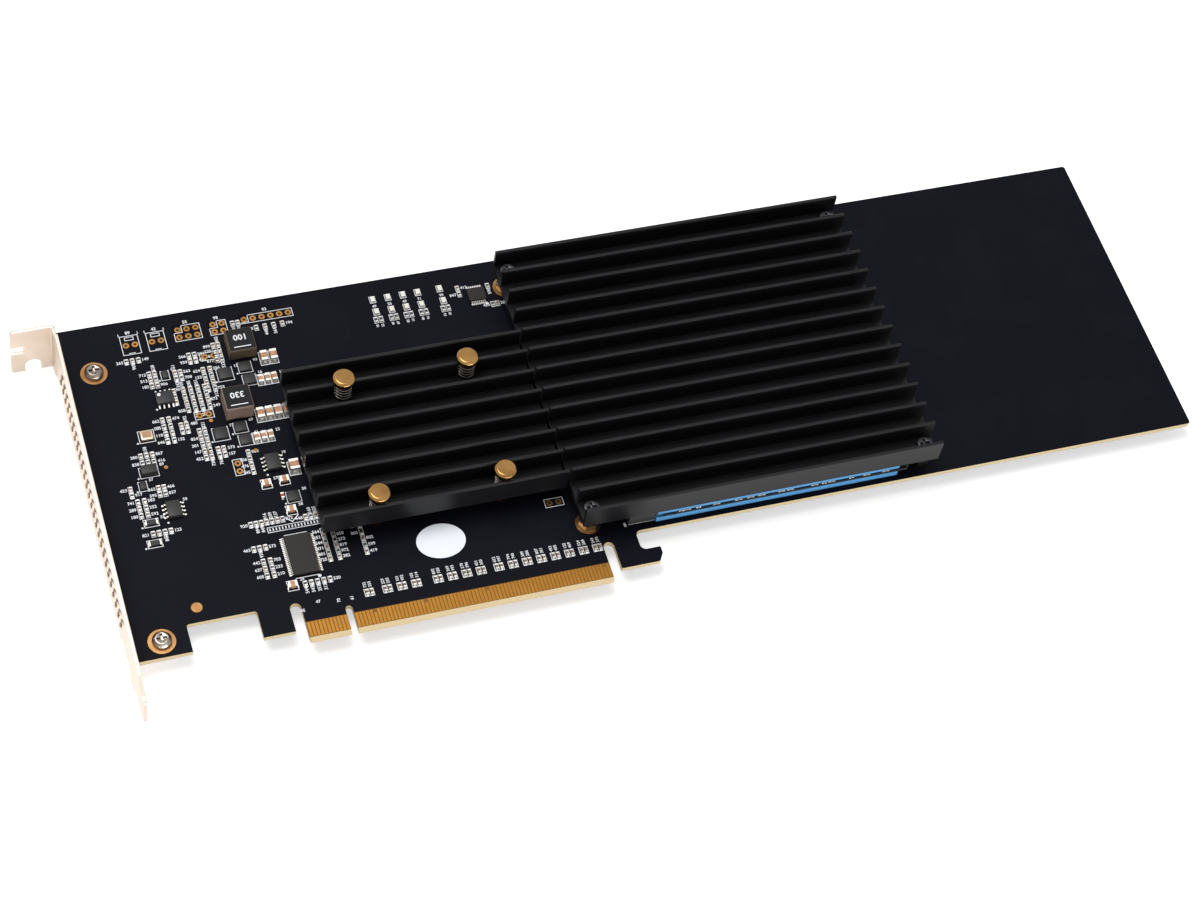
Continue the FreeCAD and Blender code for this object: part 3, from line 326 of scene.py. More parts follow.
def lens(name):
    g = Graph(name)
    here = g.place()
    tone = g.noise(here, 2.0, 1.0)
    return g.finish(tone, 0.01, Base_Color=g.mix(tone, (0.72, 0.70, 0.52), (0.92, 0.92, 0.84)),
                    Roughness=tone * 0.1 + 0.22)


def settings():
    return bpy.context.scene.card_look


def make_finishes():
    """Every material, by name."""
    look = settings()
    return {
        "board": solder_mask("board", look.mask_colour, look.track_colour, (0.70, 0.56, 0.34),
                             0.05 - BOARD_THICKNESS, -0.05, FINGER_STRIP),
        "drive_board": solder_mask("drive_board", (0.006, 0.010, 0.012), (0.016, 0.03, 0.03),
                                   (0.10, 0.12, 0.09), 2.34, 3.06),
        # A near-black strip in front of each drive's board edge, flush with its thermal pads: painted shade
        # for the recessed gap between the pads.
        "drive_shade_strip": moulded("drive_shade_strip", (0.006, 0.008, 0.010), roughness=0.6, shine=0.2),
        "gold": plated_gold("gold"),
        "bracket_steel": plain_metal("bracket_steel", look.bracket_colour, (0.62, 0.52, 0.43), 0.30,
                                     (0.6, 0.05, 0.6)),
        "steel_screw": plain_metal("steel_screw", (0.42, 0.375, 0.325), (0.22, 0.19, 0.165), 0.14),
        "black_screw": plain_metal("black_screw", (0.10, 0.10, 0.11), (0.05, 0.05, 0.055), 0.32),
        "black_anodised": anodised("black_anodised", (0.0042, 0.0042, 0.0050), look.heatsink_colour),
        "brass": plain_metal("brass", (0.46, 0.265, 0.092), (0.27, 0.14, 0.045), 0.07),
        # Spring steel coloured far darker than bare steel: painted shade for the heatsink channel the
        # springs sit in.
        "spring_steel": plain_metal("spring_steel", (0.20, 0.18, 0.17), (0.08, 0.075, 0.07), 0.14),
        "chip_substrate": moulded("chip_substrate", (0.02, 0.07, 0.045)),
        "chip_lid": plain_metal("chip_lid", (0.62, 0.62, 0.6), (0.45, 0.45, 0.44), 0.3),
        "thermal_pad": soft_pad("thermal_pad", look.pad_colour),
        "chip_black": moulded("chip_black", (0.012, 0.012, 0.012), roughness=0.42, shine=0.35),
        "memory_black": moulded("memory_black", (0.012, 0.010, 0.008), roughness=0.4, shine=0.22),
        "capacitor": ceramic("capacitor", (0.58, 0.30, 0.15), (0.40, 0.19, 0.09)),
        "dark_capacitor": ceramic("dark_capacitor", (0.24, 0.15, 0.095), (0.11, 0.065, 0.04)),
        "resistor": moulded("resistor", (0.012, 0.012, 0.014), roughness=0.3),
        "red_part": moulded("red_part", (0.30, 0.05, 0.03), roughness=0.4),
        "lead_metal": plain_metal("lead_metal", (0.80, 0.78, 0.74), (0.6, 0.58, 0.54), 0.24),
        "led": lens("led"),
        "oscillator_lid": plain_metal("oscillator_lid", (0.36, 0.23, 0.15), (0.22, 0.14, 0.09), 0.3),
        "oscillator_rim": plain_metal("oscillator_rim", (0.70, 0.58, 0.44), (0.5, 0.4, 0.3), 0.28),
        "label": sticker_paper("label", look.label_colour),
        "socket_plastic": moulded("socket_plastic", (0.018, 0.018, 0.02)),
        "inductor_top": moulded("inductor_top", (0.006, 0.006, 0.007), roughness=0.5, shine=0.15),
        "inductor_olive": pressed_powder("inductor_olive", (0.13, 0.095, 0.05), (0.05, 0.037, 0.022)),
        "inductor_brown": pressed_powder("inductor_brown", (0.27, 0.19, 0.15), (0.15, 0.10, 0.08)),
        "copper_ring": plain_metal("copper_ring", (0.42, 0.225, 0.085), (0.20, 0.10, 0.038), 0.24),
        "plated_hole": plain_metal("plated_hole", (0.40, 0.20, 0.055), (0.25, 0.115, 0.03), 0.4),
        # A near-black disc in each empty hole: painted shade for the hole's inside.
        "hole_painted_shade": moulded("hole_painted_shade", (0.004, 0.004, 0.005), roughness=0.8),
        WHITE_INK: printed_ink(WHITE_INK, look.ink_colour),
    }


FINISH = {}


def finish(name):
    if not FINISH:
        FINISH.update(make_finishes())
    return FINISH[name]


# ---------------------------------------------------------------- meshes

def welded(node):
    """A bmesh copy of a CAD node with its faces joined along their edges."""
    bm = bmesh.new()
    bm.from_mesh(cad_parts[node].data)
    bmesh.ops.remove_doubles(bm, verts=bm.verts, dist=1e-6)
    return bm


def solids(node):
    """The lowest and highest corner of each separate solid in a CAD node, in millimetres."""
    bm = welded(node)
    seen = set()
    boxes = []
    for start in bm.verts:
        if start.index in seen:
            continue
        seen.add(start.index)
        heap = [start]
        low, high = start.co.copy(), start.co.copy()
        while heap:
            vert = heap.pop()
            low = Vector(map(min, low, vert.co))
            high = Vector(map(max, high, vert.co))
            for edge in vert.link_edges:
                other = edge.other_vert(vert)
                if other.index not in seen:
                    seen.add(other.index)
                    heap.append(other)
        boxes.append((low / MM, high / MM))
    bm.free()
    return sorted(boxes, key=lambda pair: (round(pair[0].x, 2), round(pair[0].y, 2)))


def centre_of(low, high):
    return (low + high) / 2


def middles(node):
    """The centre of each solid in a CAD node."""
    return [centre_of(low, high) for low, high in solids(node)]


def new_object(name, mesh):
    made = bpy.data.objects.new(name, mesh)
    bpy.context.scene.collection.objects.link(made)
    return made


def place_piece(piece, slot, *nodes):
    """Tie a finished piece to the card and hide the nodes it stands for; slot is not used."""
    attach(piece, "root")
    if nodes:
        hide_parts(*nodes)


def flat_borders(bm):
    """The edges where a broad face meets a much smaller one; kept sharp, they shade it evenly."""
    bm.edges.index_update()
    found = []
    for edge in bm.edges:
        if len(edge.link_faces) == 2 and edge.calc_face_angle(0.0) > math.radians(8.0):
            small, large = sorted(face.calc_area() for face in edge.link_faces)
            if large > max(BROAD_FACE, 8.0 * small):
                found.append(edge.index)
    return found


def mesh_of(bm, name, materials):
    """A mesh from a bmesh in metres, smooth except round broad faces and across sharp edges."""
    mesh = bpy.data.meshes.new(name)
    borders = flat_borders(bm)
    bm.to_mesh(mesh)
    bm.free()
    for material in materials:
        mesh.materials.append(finish(material))
    mesh.shade_smooth()
    mesh.set_sharp_from_angle(angle=SMOOTH_ANGLE)
    for index in borders:
        mesh.edges[index].use_edge_sharp = True
    return mesh


def edged(node, width, *materials, slot=None, name=None, segments=2, sort_faces=None):
    """A piece made from a CAD node by softening its sharp edges, width metres wide.

    slot is passed on but not used, and sort_faces picks a face's material.
    """
    bm = welded(node)
    bmesh.ops.dissolve_limit(bm, angle_limit=FLAT_ANGLE, verts=bm.verts, edges=bm.edges)
    sharp = [e for e in bm.edges if e.is_manifold and e.calc_face_angle(0) > SHARP_ANGLE]
    bmesh.ops.bevel(bm, geom=sharp, offset=width, segments=segments, profile=0.5,
                    affect="EDGES", clamp_overlap=True)
    if sort_faces:
        for face in bm.faces:
            face.material_index = sort_faces(face)
    name = name or f"{node}_visual"
    place_piece(new_object(name, mesh_of(bm, name, materials)), slot or materials[0], node)


def circle(x, y, radius, sides):
    """The corners of a regular polygon round (x, y)."""
    turn = 2 * math.pi / sides
    return [(x + radius * math.cos(i * turn), y + radius * math.sin(i * turn)) for i in range(sides)]


def top_faces(level):
    """A sorter for edged that gives upward faces above level, in millimetres, the second material."""
    def sorter(face):
        return int(face.normal.z > 0.9 and face.calc_center_median().z > level * MM)

    return sorter


class Flat:
    """Thin printed or plated shapes that lie on one level, gathered into one mesh."""

    def __init__(self, level, thickness=0.01):
        self.bm = bmesh.new()
        self.level = level
        self.thickness = thickness

    def polygon(self, points):
        top = self.level + self.thickness
        upper = [self.bm.verts.new(Vector((x, y, top)) * MM) for x, y in points]
        lower = [self.bm.verts.new(Vector((x, y, self.level)) * MM) for x, y in points]
        self.bm.faces.new(upper)
        for i in range(len(points)):
            j = (i + 1) % len(points)
            self.bm.faces.new((lower[i], lower[j], upper[j], upper[i]))

    def bar(self, x0, x1, y0, y1):
        self.polygon([(x0, y0), (x1, y0), (x1, y1), (x0, y1)])

    def outline(self, x0, x1, y0, y1, width):
        self.bar(x0, x1, y0, y0 + width)
        self.bar(x0, x1, y1 - width, y1)
        self.bar(x0, x0 + width, y0 + width, y1 - width)
        self.bar(x1 - width, x1, y0 + width, y1 - width)

    def disc(self, x, y, radius, sides=20):
        self.polygon(circle(x, y, radius, sides))

    def ring(self, x, y, inner, outer, sides=40):
        top = self.level + self.thickness
        rings = []
        for radius, level in ((outer, self.level), (outer, top), (inner, top), (inner, self.level)):
            rings.append([self.bm.verts.new(Vector((*point, level)) * MM)
                          for point in circle(x, y, radius, sides)])
        for first, second in zip(rings, rings[1:]):
            for i in range(sides):
                j = (i + 1) % sides
                self.bm.faces.new((first[i], first[j], second[j], second[i]))

    def piece(self, name, slot, material):
        place_piece(new_object(name, mesh_of(self.bm, name, [material])), slot)


def number_mesh(text, height):
    """A plain number as a flat mesh, centred, height millimetres tall."""
    curve = bpy.data.curves.new("number", "FONT")
    curve.body = text
    curve.size = height * 1.4 * MM
    curve.offset = 0.03 * height * MM
    curve.extrude = 0.004 * MM
    curve.align_x = "CENTER"
    curve.align_y = "CENTER"
    curve.resolution_u = 2
    holder = new_object("number", curve)
    bpy.context.view_layer.update()
    graph = bpy.context.evaluated_depsgraph_get()
    mesh = bpy.data.meshes.new_from_object(holder.evaluated_get(graph))
    bpy.data.objects.remove(holder)
    bpy.data.curves.remove(curve)
    return mesh


def numbers_piece(name, numbers):
    """One printed piece from (mesh, matrix) pairs."""
    bm = bmesh.new()
    for mesh, matrix in numbers:
        mesh.transform(matrix)
        bm.from_mesh(mesh)
        bpy.data.meshes.remove(mesh)
    place_piece(new_object(name, mesh_of(bm, name, [WHITE_INK])), "label")


# ---------------------------------------------------------------- geometry nodes

class Nodes:
    """A geometry node group under construction, with named inputs."""

    def __init__(self, name):
        self.group = bpy.data.node_groups.new(name, "GeometryNodeTree")
        self.group.interface.new_socket("Geometry", in_out="INPUT", socket_type="NodeSocketGeometry")
        self.group.interface.new_socket("Geometry", in_out="OUTPUT", socket_type="NodeSocketGeometry")
        self.source = self.group.nodes.new("NodeGroupInput")
        self.sink = self.group.nodes.new("NodeGroupOutput")

    def given(self, name, kind="NodeSocketFloat"):
        """A named input of the group."""
        self.group.interface.new_socket(name, in_out="INPUT", socket_type=kind)
        return self.source.outputs[name]

    def add(self, kind, inputs=None, output=0, **settings):
        node = self.group.nodes.new(kind)
        for key, value in settings.items():
            setattr(node, key, value)
        for key, value in (inputs or {}).items():
            if isinstance(value, bpy.types.NodeSocket):
                self.group.links.new(value, node.inputs[key])
            else:
                node.inputs[key].default_value = value
        return node.outputs[output]

    def join(self, *parts):
        node = self.group.nodes.new("GeometryNodeJoinGeometry")
        for part in parts:
            self.group.links.new(part, node.inputs[0])
        return node.outputs[0]

    def attribute(self, name, kind):
        return self.add("GeometryNodeInputNamedAttribute", {"Name": name}, data_type=kind)

    def combine(self, x, y, z):
        return self.add("ShaderNodeCombineXYZ", {0: x, 1: y, 2: z})

    def math(self, operation, *values):
        return self.add("ShaderNodeMath", dict(enumerate(values)), operation=operation)

    def times(self, first, second):
        return self.math("MULTIPLY", first, second)

    def block(self, x, y, z):
        return self.add("GeometryNodeMeshCube", {"Size": self.combine(x, y, z)})

    def moved(self, geometry, **how):
        """The geometry with a Translation, Rotation or Scale."""
        return self.add("GeometryNodeTransform", {"Geometry": geometry, **how})

    def copies(self, instance, points=None, **how):
        """A copy of instance at each point, by default each point of the mesh that the group runs on."""
        points = points or self.source.outputs[0]
        return self.add("GeometryNodeInstanceOnPoints", {"Points": points, "Instance": instance, **how})

    def real(self, geometry):
        return self.add("GeometryNodeRealizeInstances", {"Geometry": geometry})

    def marked(self, geometry, name):
        """The geometry with its faces marked by an attribute."""
        inputs = {"Geometry": geometry, "Name": name, "Value": True}
        return self.add("GeometryNodeStoreNamedAttribute", inputs, data_type="BOOLEAN", domain="FACE")

    def coat(self, geometry, material, only=None):
        """The geometry in a material, or only the faces that an attribute marks."""
        inputs = {"Geometry": geometry, "Material": material}
        if only:
            inputs["Selection"] = self.attribute(only, "BOOLEAN")
        return self.add("GeometryNodeSetMaterial", inputs)

    def end(self, geometry):
        self.group.links.new(geometry, self.sink.inputs[0])
        return self.group


def grown(name, mesh, group, values):
    """Run a node group over a mesh, with its inputs set by name, and keep the plain result."""
    holder = new_object(name, mesh)
    modifier = holder.modifiers.new("grow", "NODES")
    modifier.node_group = group
    for item in group.interface.items_tree:
        if item.in_out == "INPUT" and item.name in values:
            modifier[item.identifier] = values[item.name]
    bpy.context.view_layer.update()
    result = bpy.data.meshes.new_from_object(
        holder.evaluated_get(bpy.context.evaluated_depsgraph_get()))
    result.name = name
    holder.modifiers.clear()
    holder.data = result
    bpy.data.meshes.remove(mesh)
    return holder


def points_mesh(places):
    """Loose points with a size and a quarter turn each, from (centre, size, turned) in millimetres."""
    mesh = bpy.data.meshes.new("points")
    mesh.from_pydata([centre * MM for centre, _, _ in places], [], [])
    sizes = [Vector((size.y, size.x, size.z) if turned else size) * MM for _, size, turned in places]
    turns = [math.pi / 2 if turned else 0.0 for _, _, turned in places]
    mesh.attributes.new("size", "FLOAT_VECTOR", "POINT")
    mesh.attributes.new("turn", "FLOAT", "POINT")
    mesh.attributes["size"].data.foreach_set("vector", [value for size in sizes for value in size])
    mesh.attributes["turn"].data.foreach_set("value", turns)
    return mesh


def terminal_chip_group():
    """A two-terminal chip at each point: a body between two plated ends, with solder against them."""
    n = Nodes("terminal_chip")
    cap = n.given("Cap Share")
    shrink = n.given("Body Shrink")
    fillet = n.given("Fillet Length")
    body_material = n.given("Body Material", "NodeSocketMaterial")
    cap_material = n.given("Cap Material", "NodeSocketMaterial")
    body = n.block(shrink, n.math("SUBTRACT", 1.0, n.times(cap, 2.0)), shrink)
    end = n.block(1.0, cap, 1.0)
    offset = n.math("SUBTRACT", 0.5, n.times(cap, 0.5))
    solder = n.add("GeometryNodeMeshCone", {"Vertices": 4, "Radius Top": 0.30, "Radius Bottom": 0.66,
                                            "Depth": 0.42})
    solder = n.moved(solder, Rotation=(0, 0, math.pi / 4), Translation=(0, 0, -0.5))
    ends = []
    for side in (-1.0, 1.0):
        ends.append(n.moved(end, Translation=n.combine(0.0, n.times(offset, side), 0.0)))
        ends.append(n.moved(solder, Translation=n.combine(0.0, side * 0.5, 0.0),
                            Scale=n.combine(1.0, fillet, 1.0)))
    turn = n.combine(0.0, 0.0, n.attribute("turn", "FLOAT"))
    chips = n.copies(n.join(body, n.marked(n.join(*ends), "plated")),
                     Rotation=turn, Scale=n.attribute("size", "FLOAT_VECTOR"))
    return n.end(n.coat(n.coat(n.real(chips), body_material), cap_material, "plated"))


def lead_row_group():
    """Two facing rows of gull-wing leads along a package that stands at the origin."""
    n = Nodes("lead_rows")
    count = n.given("Count", "NodeSocketInt")
    pitch = n.given("Pitch")
    half = n.given("Half Body")
    reach = n.given("Reach")
    width = n.given("Width")
    height = n.given("Height")
    material = n.given("Material", "NodeSocketMaterial")
    thickness = 0.15 * MM
    length = n.times(n.math("SUBTRACT", count, 1.0), pitch)
    start = n.combine(0.0, n.times(length, -0.5), 0.0)
    line = n.add("GeometryNodeMeshLine", {"Count": count, "Start Location": start,
                                          "Offset": n.combine(0.0, pitch, 0.0)})
    foot_x = n.math("ADD", half, n.times(reach, 0.72))
    foot = n.moved(n.block(n.times(reach, 0.55), width, thickness),
                   Translation=n.combine(foot_x, 0.0, thickness / 2))
    shank_x = n.math("ADD", half, n.times(reach, 0.25))
    shank = n.moved(n.block(n.times(reach, 0.5), width, thickness), Rotation=(0.0, 0.7, 0.0),
                    Translation=n.combine(shank_x, 0.0, n.times(height, 0.7)))
    row = n.copies(n.join(foot, shank), line)
    rows = [n.moved(row, Rotation=(0.0, 0.0, side)) for side in (0.0, math.pi)]
    return n.end(n.coat(n.real(n.join(*rows)), material))


def coil_group():
    """A coil spring at each point."""
    n = Nodes("coil")
    turns = n.given("Turns")
    radius = n.given("Radius")
    height = n.given("Height")
    wire = n.given("Wire")
    material = n.given("Material", "NodeSocketMaterial")
    spiral = n.add("GeometryNodeCurveSpiral", {"Resolution": 28, "Rotations": turns, "Start Radius": radius,
                                               "End Radius": radius, "Height": height})
    section = n.add("GeometryNodeCurvePrimitiveCircle", {"Resolution": 10, "Radius": wire})
    tube = n.add("GeometryNodeCurveToMesh", {"Curve": spiral, "Profile Curve": section, "Fill Caps": True})
    return n.end(n.coat(n.real(n.copies(tube)), material))


def plated_hole_group():
    """A plated pad at each point, with a dark disc in its middle as painted shade for the hole."""
    n = Nodes("plated_holes")
    pad = n.given("Pad Radius")
    hole = n.given("Hole Radius")
    plating = n.given("Plating", "NodeSocketMaterial")
    dark = n.given("Hole Shade", "NodeSocketMaterial")
    disc = n.add("GeometryNodeMeshCylinder", {"Vertices": 16, "Radius": pad, "Depth": 0.02 * MM})
    # The dark core is painted shade for the inside of the hole.
    core = n.add("GeometryNodeMeshCylinder", {"Vertices": 12, "Radius": hole, "Depth": 0.03 * MM})
    holes = n.real(n.copies(n.join(disc, n.marked(core, "dark"))))
    return n.end(n.coat(n.coat(holes, plating), dark, "dark"))


GROUPS = {}


def group(name, build):
    if name not in GROUPS:
        GROUPS[name] = build()
    return GROUPS[name]


def terminal_chips(name, slot, places, body, share, nodes=()):
    """A piece with a two-terminal chip at each place; each end cap takes a share of its length."""
    made = grown(name, points_mesh(places), group("terminal_chip", terminal_chip_group), {
        "Cap Share": share, "Body Shrink": 0.94, "Fillet Length": 0.35,
        "Body Material": finish(body), "Cap Material": finish("lead_metal")})
    place_piece(made, slot, *nodes)


def box_places(node):
    """Each solid of a CAD node as a (centre, size, turned) place; the terminals face along its length."""
    places = []
    for low, high in solids(node):
        size = high - low
        places.append((centre_of(low, high), size, size.x > size.y))
    return places


# ---------------------------------------------------------------- places on the card, in millimetres

PIN_PITCH = 2.54
# Pin headers: centre X and Y, columns, rows, and the size of the printed box.
HEADERS = (
    (-38.1, 102.9, 2, 1, 5.2, 6.6),
    (-30.8, 102.8, 2, 1, 5.2, 6.5),
    (-21.8, 104.0, 3, 2, 7.7, 5.4),
    (-13.1, 103.9, 2, 2, 5.1, 4.9),
    (0.9, 105.1, 6, 1, 15.3, 2.9),
)
# Unfitted two-hole footprints: centre X and Y, and whether the holes stand along Y.
SPARE_HOLES = ((-17.7, 94.8, False), (-23.4, 75.8, False), (-18.1, 57.0, True), (63.0, 27.6, False))
TEST_POINTS = ((-16.2, 92.6), (-22.0, 73.6), (-24.6, 63.6), (-37.2, 61.2), (-12.4, 61.5))
COPPER_SPOT = (-38.8, 16.5)
COPPER_SPOT_RADIUS = 1.5
SCREW_RING = (1.9, 3.7)        # inner and outer radius of the copper round a bracket screw
POST_RING = (2.2, 3.6)         # the same round the first two heatsink posts
HEADER_PAD = (0.92, 0.42)      # radius of the plating and of the hole
TEST_PAD = (0.55, 0.001)
CAP_SHARE = 0.24               # an end cap's share of a small part's length
FUSE_CENTRE = (-8.8, 45.4, 0.35)
FUSE_SIZE = (0.9, 1.7, 0.7)
SHADE_STRIP_DEPTH = 0.76               # how far the dark strip of painted shade at a drive's front edge stands in front of its board
# Places tried for a number beside a small part: offsets in X and Y, and whether it is turned.
NUMBER_SPOTS = ((1.85, 0.0, False), (-1.85, 0.0, False), (0.0, -1.95, True),
                (0.0, 1.95, True), (3.6, 0.0, False), (-3.6, 0.0, False))
# Small numbers just behind the contacts: centre X and Y, and whether each is turned.
FINGER_NUMBERS = ((-12.0, 9.4, False), (-7.4, 11.2, False), (-2.0, 10.4, True), (1.6, 10.4, True))
# The long fine-pitch footprint: left, right, front and back.
FINE_STRIP = (-15.3, -0.8, 34.7, 36.5)
FINE_STRIP_PADS = 16
MEMORY_LEADS = 22
MEMORY_LEAD_PITCH = 0.55
DRIVER_LEADS = 8
DRIVER_LEAD_PITCH = 0.55


def header_pins(cx, cy, columns, rows):
    """The hole centres of one header."""
    for i in range(columns):
        for j in range(rows):
            yield cx + (i - (columns - 1) / 2) * PIN_PITCH, cy + (j - (rows - 1) / 2) * PIN_PITCH


def coat(node, material):
    """Give a CAD node that is shown as it is its finish."""
    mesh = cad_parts[node].data
    mesh.materials.clear()
    mesh.materials.append(finish(material))


# ---------------------------------------------------------------- pieces

def colour_setting(name, description, default):
    return bpy.props.FloatVectorProperty(name=name, description=description, default=default,
                                         size=3, min=0.0, max=1.0, subtype="COLOR")


class CardLook(bpy.types.PropertyGroup):
    """Sizes, colours and light of the visual detail."""

    metal_edge: bpy.props.FloatProperty(
        name="Metal Edge", description="Softened edge of the extruded and turned metal parts",
        default=0.00014, min=0.0, unit="LENGTH", subtype="DISTANCE")
    pin_edge: bpy.props.FloatProperty(
        name="Pin Edge", description="Rounded edge of the push pins' heads",
        default=0.000392, min=0.0, unit="LENGTH", subtype="DISTANCE")
    chip_edge: bpy.props.FloatProperty(
        name="Chip Edge", description="Softened edge of the moulded packages",
        default=0.00006, min=0.0, unit="LENGTH", subtype="DISTANCE")
    print_width: bpy.props.FloatProperty(
        name="Print Width", description="Width of a printed line",
        default=0.0002, min=0.00005, unit="LENGTH", subtype="DISTANCE")
    coil_wire: bpy.props.FloatProperty(
        name="Coil Wire", description="Wire radius of the push pins' springs",
        default=0.0003, min=0.00005, unit="LENGTH", subtype="DISTANCE")
    mask_colour: colour_setting("Mask", "Solder mask between the tracks", (0.0034, 0.0037, 0.0070))
    track_colour: colour_setting("Tracks", "Solder mask over the tracks", (0.0072, 0.0080, 0.0132))
    ink_colour: colour_setting("Ink", "Printed marks", (0.86, 0.87, 0.9))
    heatsink_colour: colour_setting("Heatsinks", "Anodised heatsinks", (0.0082, 0.0082, 0.0098))
    bracket_colour: colour_setting("Bracket", "Plated steel of the bracket", (0.74, 0.63, 0.535))
    pad_colour: colour_setting("Thermal Pads", "Silicone pads", (0.075, 0.31, 0.62))
    label_colour: colour_setting("Label", "Blank sticker", (0.92, 0.94, 0.98))
    key_light: bpy.props.FloatProperty(
        name="Key Light", description="Strength of the main soft light",
        default=17.0, min=0.0, unit="POWER")
    front_light: bpy.props.FloatProperty(
        name="Front Light", description="Strength of the low front light",
        default=12.75, min=0.0, unit="POWER")


class CARD_OT_circuit_board(bpy.types.Operator):
    """Finish the board, its edge contacts, the switch chip's stack and the blank label"""
    bl_idname = "card.circuit_board"
    bl_label = "Circuit Board"

    def execute(self, context):
        for node, material in (("circuit_board", "board"), ("edge_contacts", "gold"),
                               ("switch_package", "chip_substrate"), ("switch_lid", "chip_lid"),
                               ("switch_thermal_pad", "thermal_pad"), ("blank_label", "label")):
            coat(node, material)
        return {"FINISHED"}


class CARD_OT_bracket(bpy.types.Operator):
    """Soften the folded bracket's cut edges"""
    bl_idname = "card.bracket"
    bl_label = "Bracket"

    def execute(self, context):
        edged("bracket", 0.09 * MM, "bracket_steel")
        return {"FINISHED"}


class CARD_OT_heatsinks(bpy.types.Operator):
    """Soften the edges of both extruded heatsinks"""
    bl_idname = "card.heatsinks"
    bl_label = "Heatsinks"

    def execute(self, context):
        for node in ("drive_heatsink", "switch_heatsink"):
            edged(node, settings().metal_edge, "black_anodised")
        return {"FINISHED"}


class CARD_OT_fasteners(bpy.types.Operator):
    """Turned screws, posts and standoffs with softened edges, and copper rings round their feet"""
    bl_idname = "card.fasteners"
    bl_label = "Fasteners"

    def execute(self, context):
        for node, metal in (("bracket_screws", "steel_screw"), ("heatsink_screws", "black_screw"),
                            ("heatsink_posts", "steel_screw"), ("drive_screws", "steel_screw"),
                            ("drive_standoffs", "brass")):
            edged(node, settings().metal_edge, metal)
        rings = Flat(0.002, 0.02)
        for middle in middles("bracket_screws"):
            rings.ring(middle.x, middle.y, *SCREW_RING)
        for middle in middles("heatsink_posts")[:2]:
            rings.ring(middle.x, middle.y, *POST_RING)
        rings.disc(*COPPER_SPOT, COPPER_SPOT_RADIUS)
        rings.piece("copper_rings", "gold", "copper_ring")
        return {"FINISHED"}


class CARD_OT_push_pins(bpy.types.Operator):
    """Sprung push pins that hold the chip's heatsink"""
    bl_idname = "card.push_pins"
    bl_label = "Push Pins"

    def execute(self, context):
        edged("push_pins", settings().pin_edge, "brass", segments=4)
        wire = settings().coil_wire / MM
        places = []
        for low, high in solids("pin_springs"):
            middle = centre_of(low, high)
            places.append((Vector((middle.x, middle.y, low.z + wire)), high - low, False))
        space = places[0][1]
        springs = grown("pin_springs_visual", points_mesh(places), group("coil", coil_group), {
            "Turns": 4.5, "Radius": (space.x / 2 - wire) * MM, "Height": (space.z - 2 * wire) * MM,
            "Wire": wire * MM, "Material": finish("spring_steel")})
        springs.data.shade_smooth()
        place_piece(springs, "spring_steel", "pin_springs")
        return {"FINISHED"}


class CARD_OT_drives(bpy.types.Operator):
    """Four drives with their sockets, chips and pads, and a dark strip of painted shade with small chips
    along each front edge
    """
    bl_idname = "card.drives"
    bl_label = "Drives"

    def execute(self, context):
        places = []
        for i in range(1, 5):
            coat(f"drive_board_{i}", "drive_board")
            for level in ("lower", "upper"):
                edged(f"{level}_thermal_pad_{i}", 0.25 * MM, "thermal_pad", name=f"{level}_pad_{i}_visual")
            edged(f"drive_socket_{i}", 0.12 * MM, "socket_plastic")
            low, high = solids(f"drive_board_{i}")[0]
            # A dark strip along the drive's front edge, standing forward to the pads: painted shade for the
            # recessed edge between them.
            shade_strip = Flat(low.z + 0.02, high.z - low.z - 0.04)
            shade_strip.bar(low.x + 7.0, high.x - 0.5, low.y - SHADE_STRIP_DEPTH, low.y + 0.1)
            shade_strip.piece(f"drive_shade_strip_{i}", "chip_substrate", "drive_shade_strip")
            places.extend(self.rim_chips(low, high, random.Random(40 + i)))
        terminal_chips("drive_shade_strip_chips", "capacitor", places, "capacitor", CAP_SHARE)
        for node in ("drive_controllers", "drive_buffer_chips", "drive_memory_chips"):
            edged(node, settings().chip_edge, "chip_black")
        return {"FINISHED"}

    @staticmethod
    def rim_chips(low, high, rng):
        """Places of small chips along the dark strip of painted shade at a drive's front edge, with some
        left out.
        """
        height = 0.38
        x = low.x + 12.0
        while x < high.x - 4.0:
            long, tall = (1.0, 0.5) if rng.random() < 0.6 else (1.6, 0.8)
            if rng.random() < 0.62:
                y = low.y - SHADE_STRIP_DEPTH + 0.06 + tall / 2
                yield Vector((x, y, high.z + height / 2)), Vector((long, tall, height)), True
            x += long + 0.55 + rng.random() * 1.6


class CARD_OT_power_parts(bpy.types.Operator):
    """Inductors with black printed tops, and the larger moulded power packages"""
    bl_idname = "card.power_parts"
    bl_label = "Power Parts"

    def execute(self, context):
        marks = []
        for node, side, value in (("power_inductor_1", "inductor_olive", "100"),
                                  ("power_inductor_2", "inductor_brown", "330")):
            low, high = solids(node)[0]
            edged(node, 0.35 * MM, side, "inductor_top", slot="inductor", segments=3,
                  sort_faces=top_faces(high.z - 0.2))
            middle = centre_of(low, high)
            place = Vector((middle.x, middle.y + 0.7, high.z + 0.005)) * MM
            upside_down = Matrix.Rotation(math.pi, 4, "Z")
            marks.append((number_mesh(value, 1.9), Matrix.Translation(place) @ upside_down))
            line = Flat(high.z, 0.02)
            line.bar(middle.x - 2.4, middle.x + 2.4, low.y + 1.1, low.y + 1.4)
            line.piece(f"{node}_mark", "label", WHITE_INK)
        numbers_piece("inductor_numbers", marks)
        for node in ("power_transistors", "power_controllers", "power_diode", "small_transistors"):
            edged(node, settings().chip_edge, "chip_black")
        low, high = solids("oscillator")[0]
        edged("oscillator", 0.2 * MM, "oscillator_rim", slot="oscillator_metal", segments=3)
        lid = Flat(high.z, 0.02)
        lid.bar(low.x + 0.45, high.x - 0.45, low.y + 0.45, high.y - 0.45)
        lid.piece("oscillator_lid_visual", "oscillator_metal", "oscillator_lid")
        return {"FINISHED"}


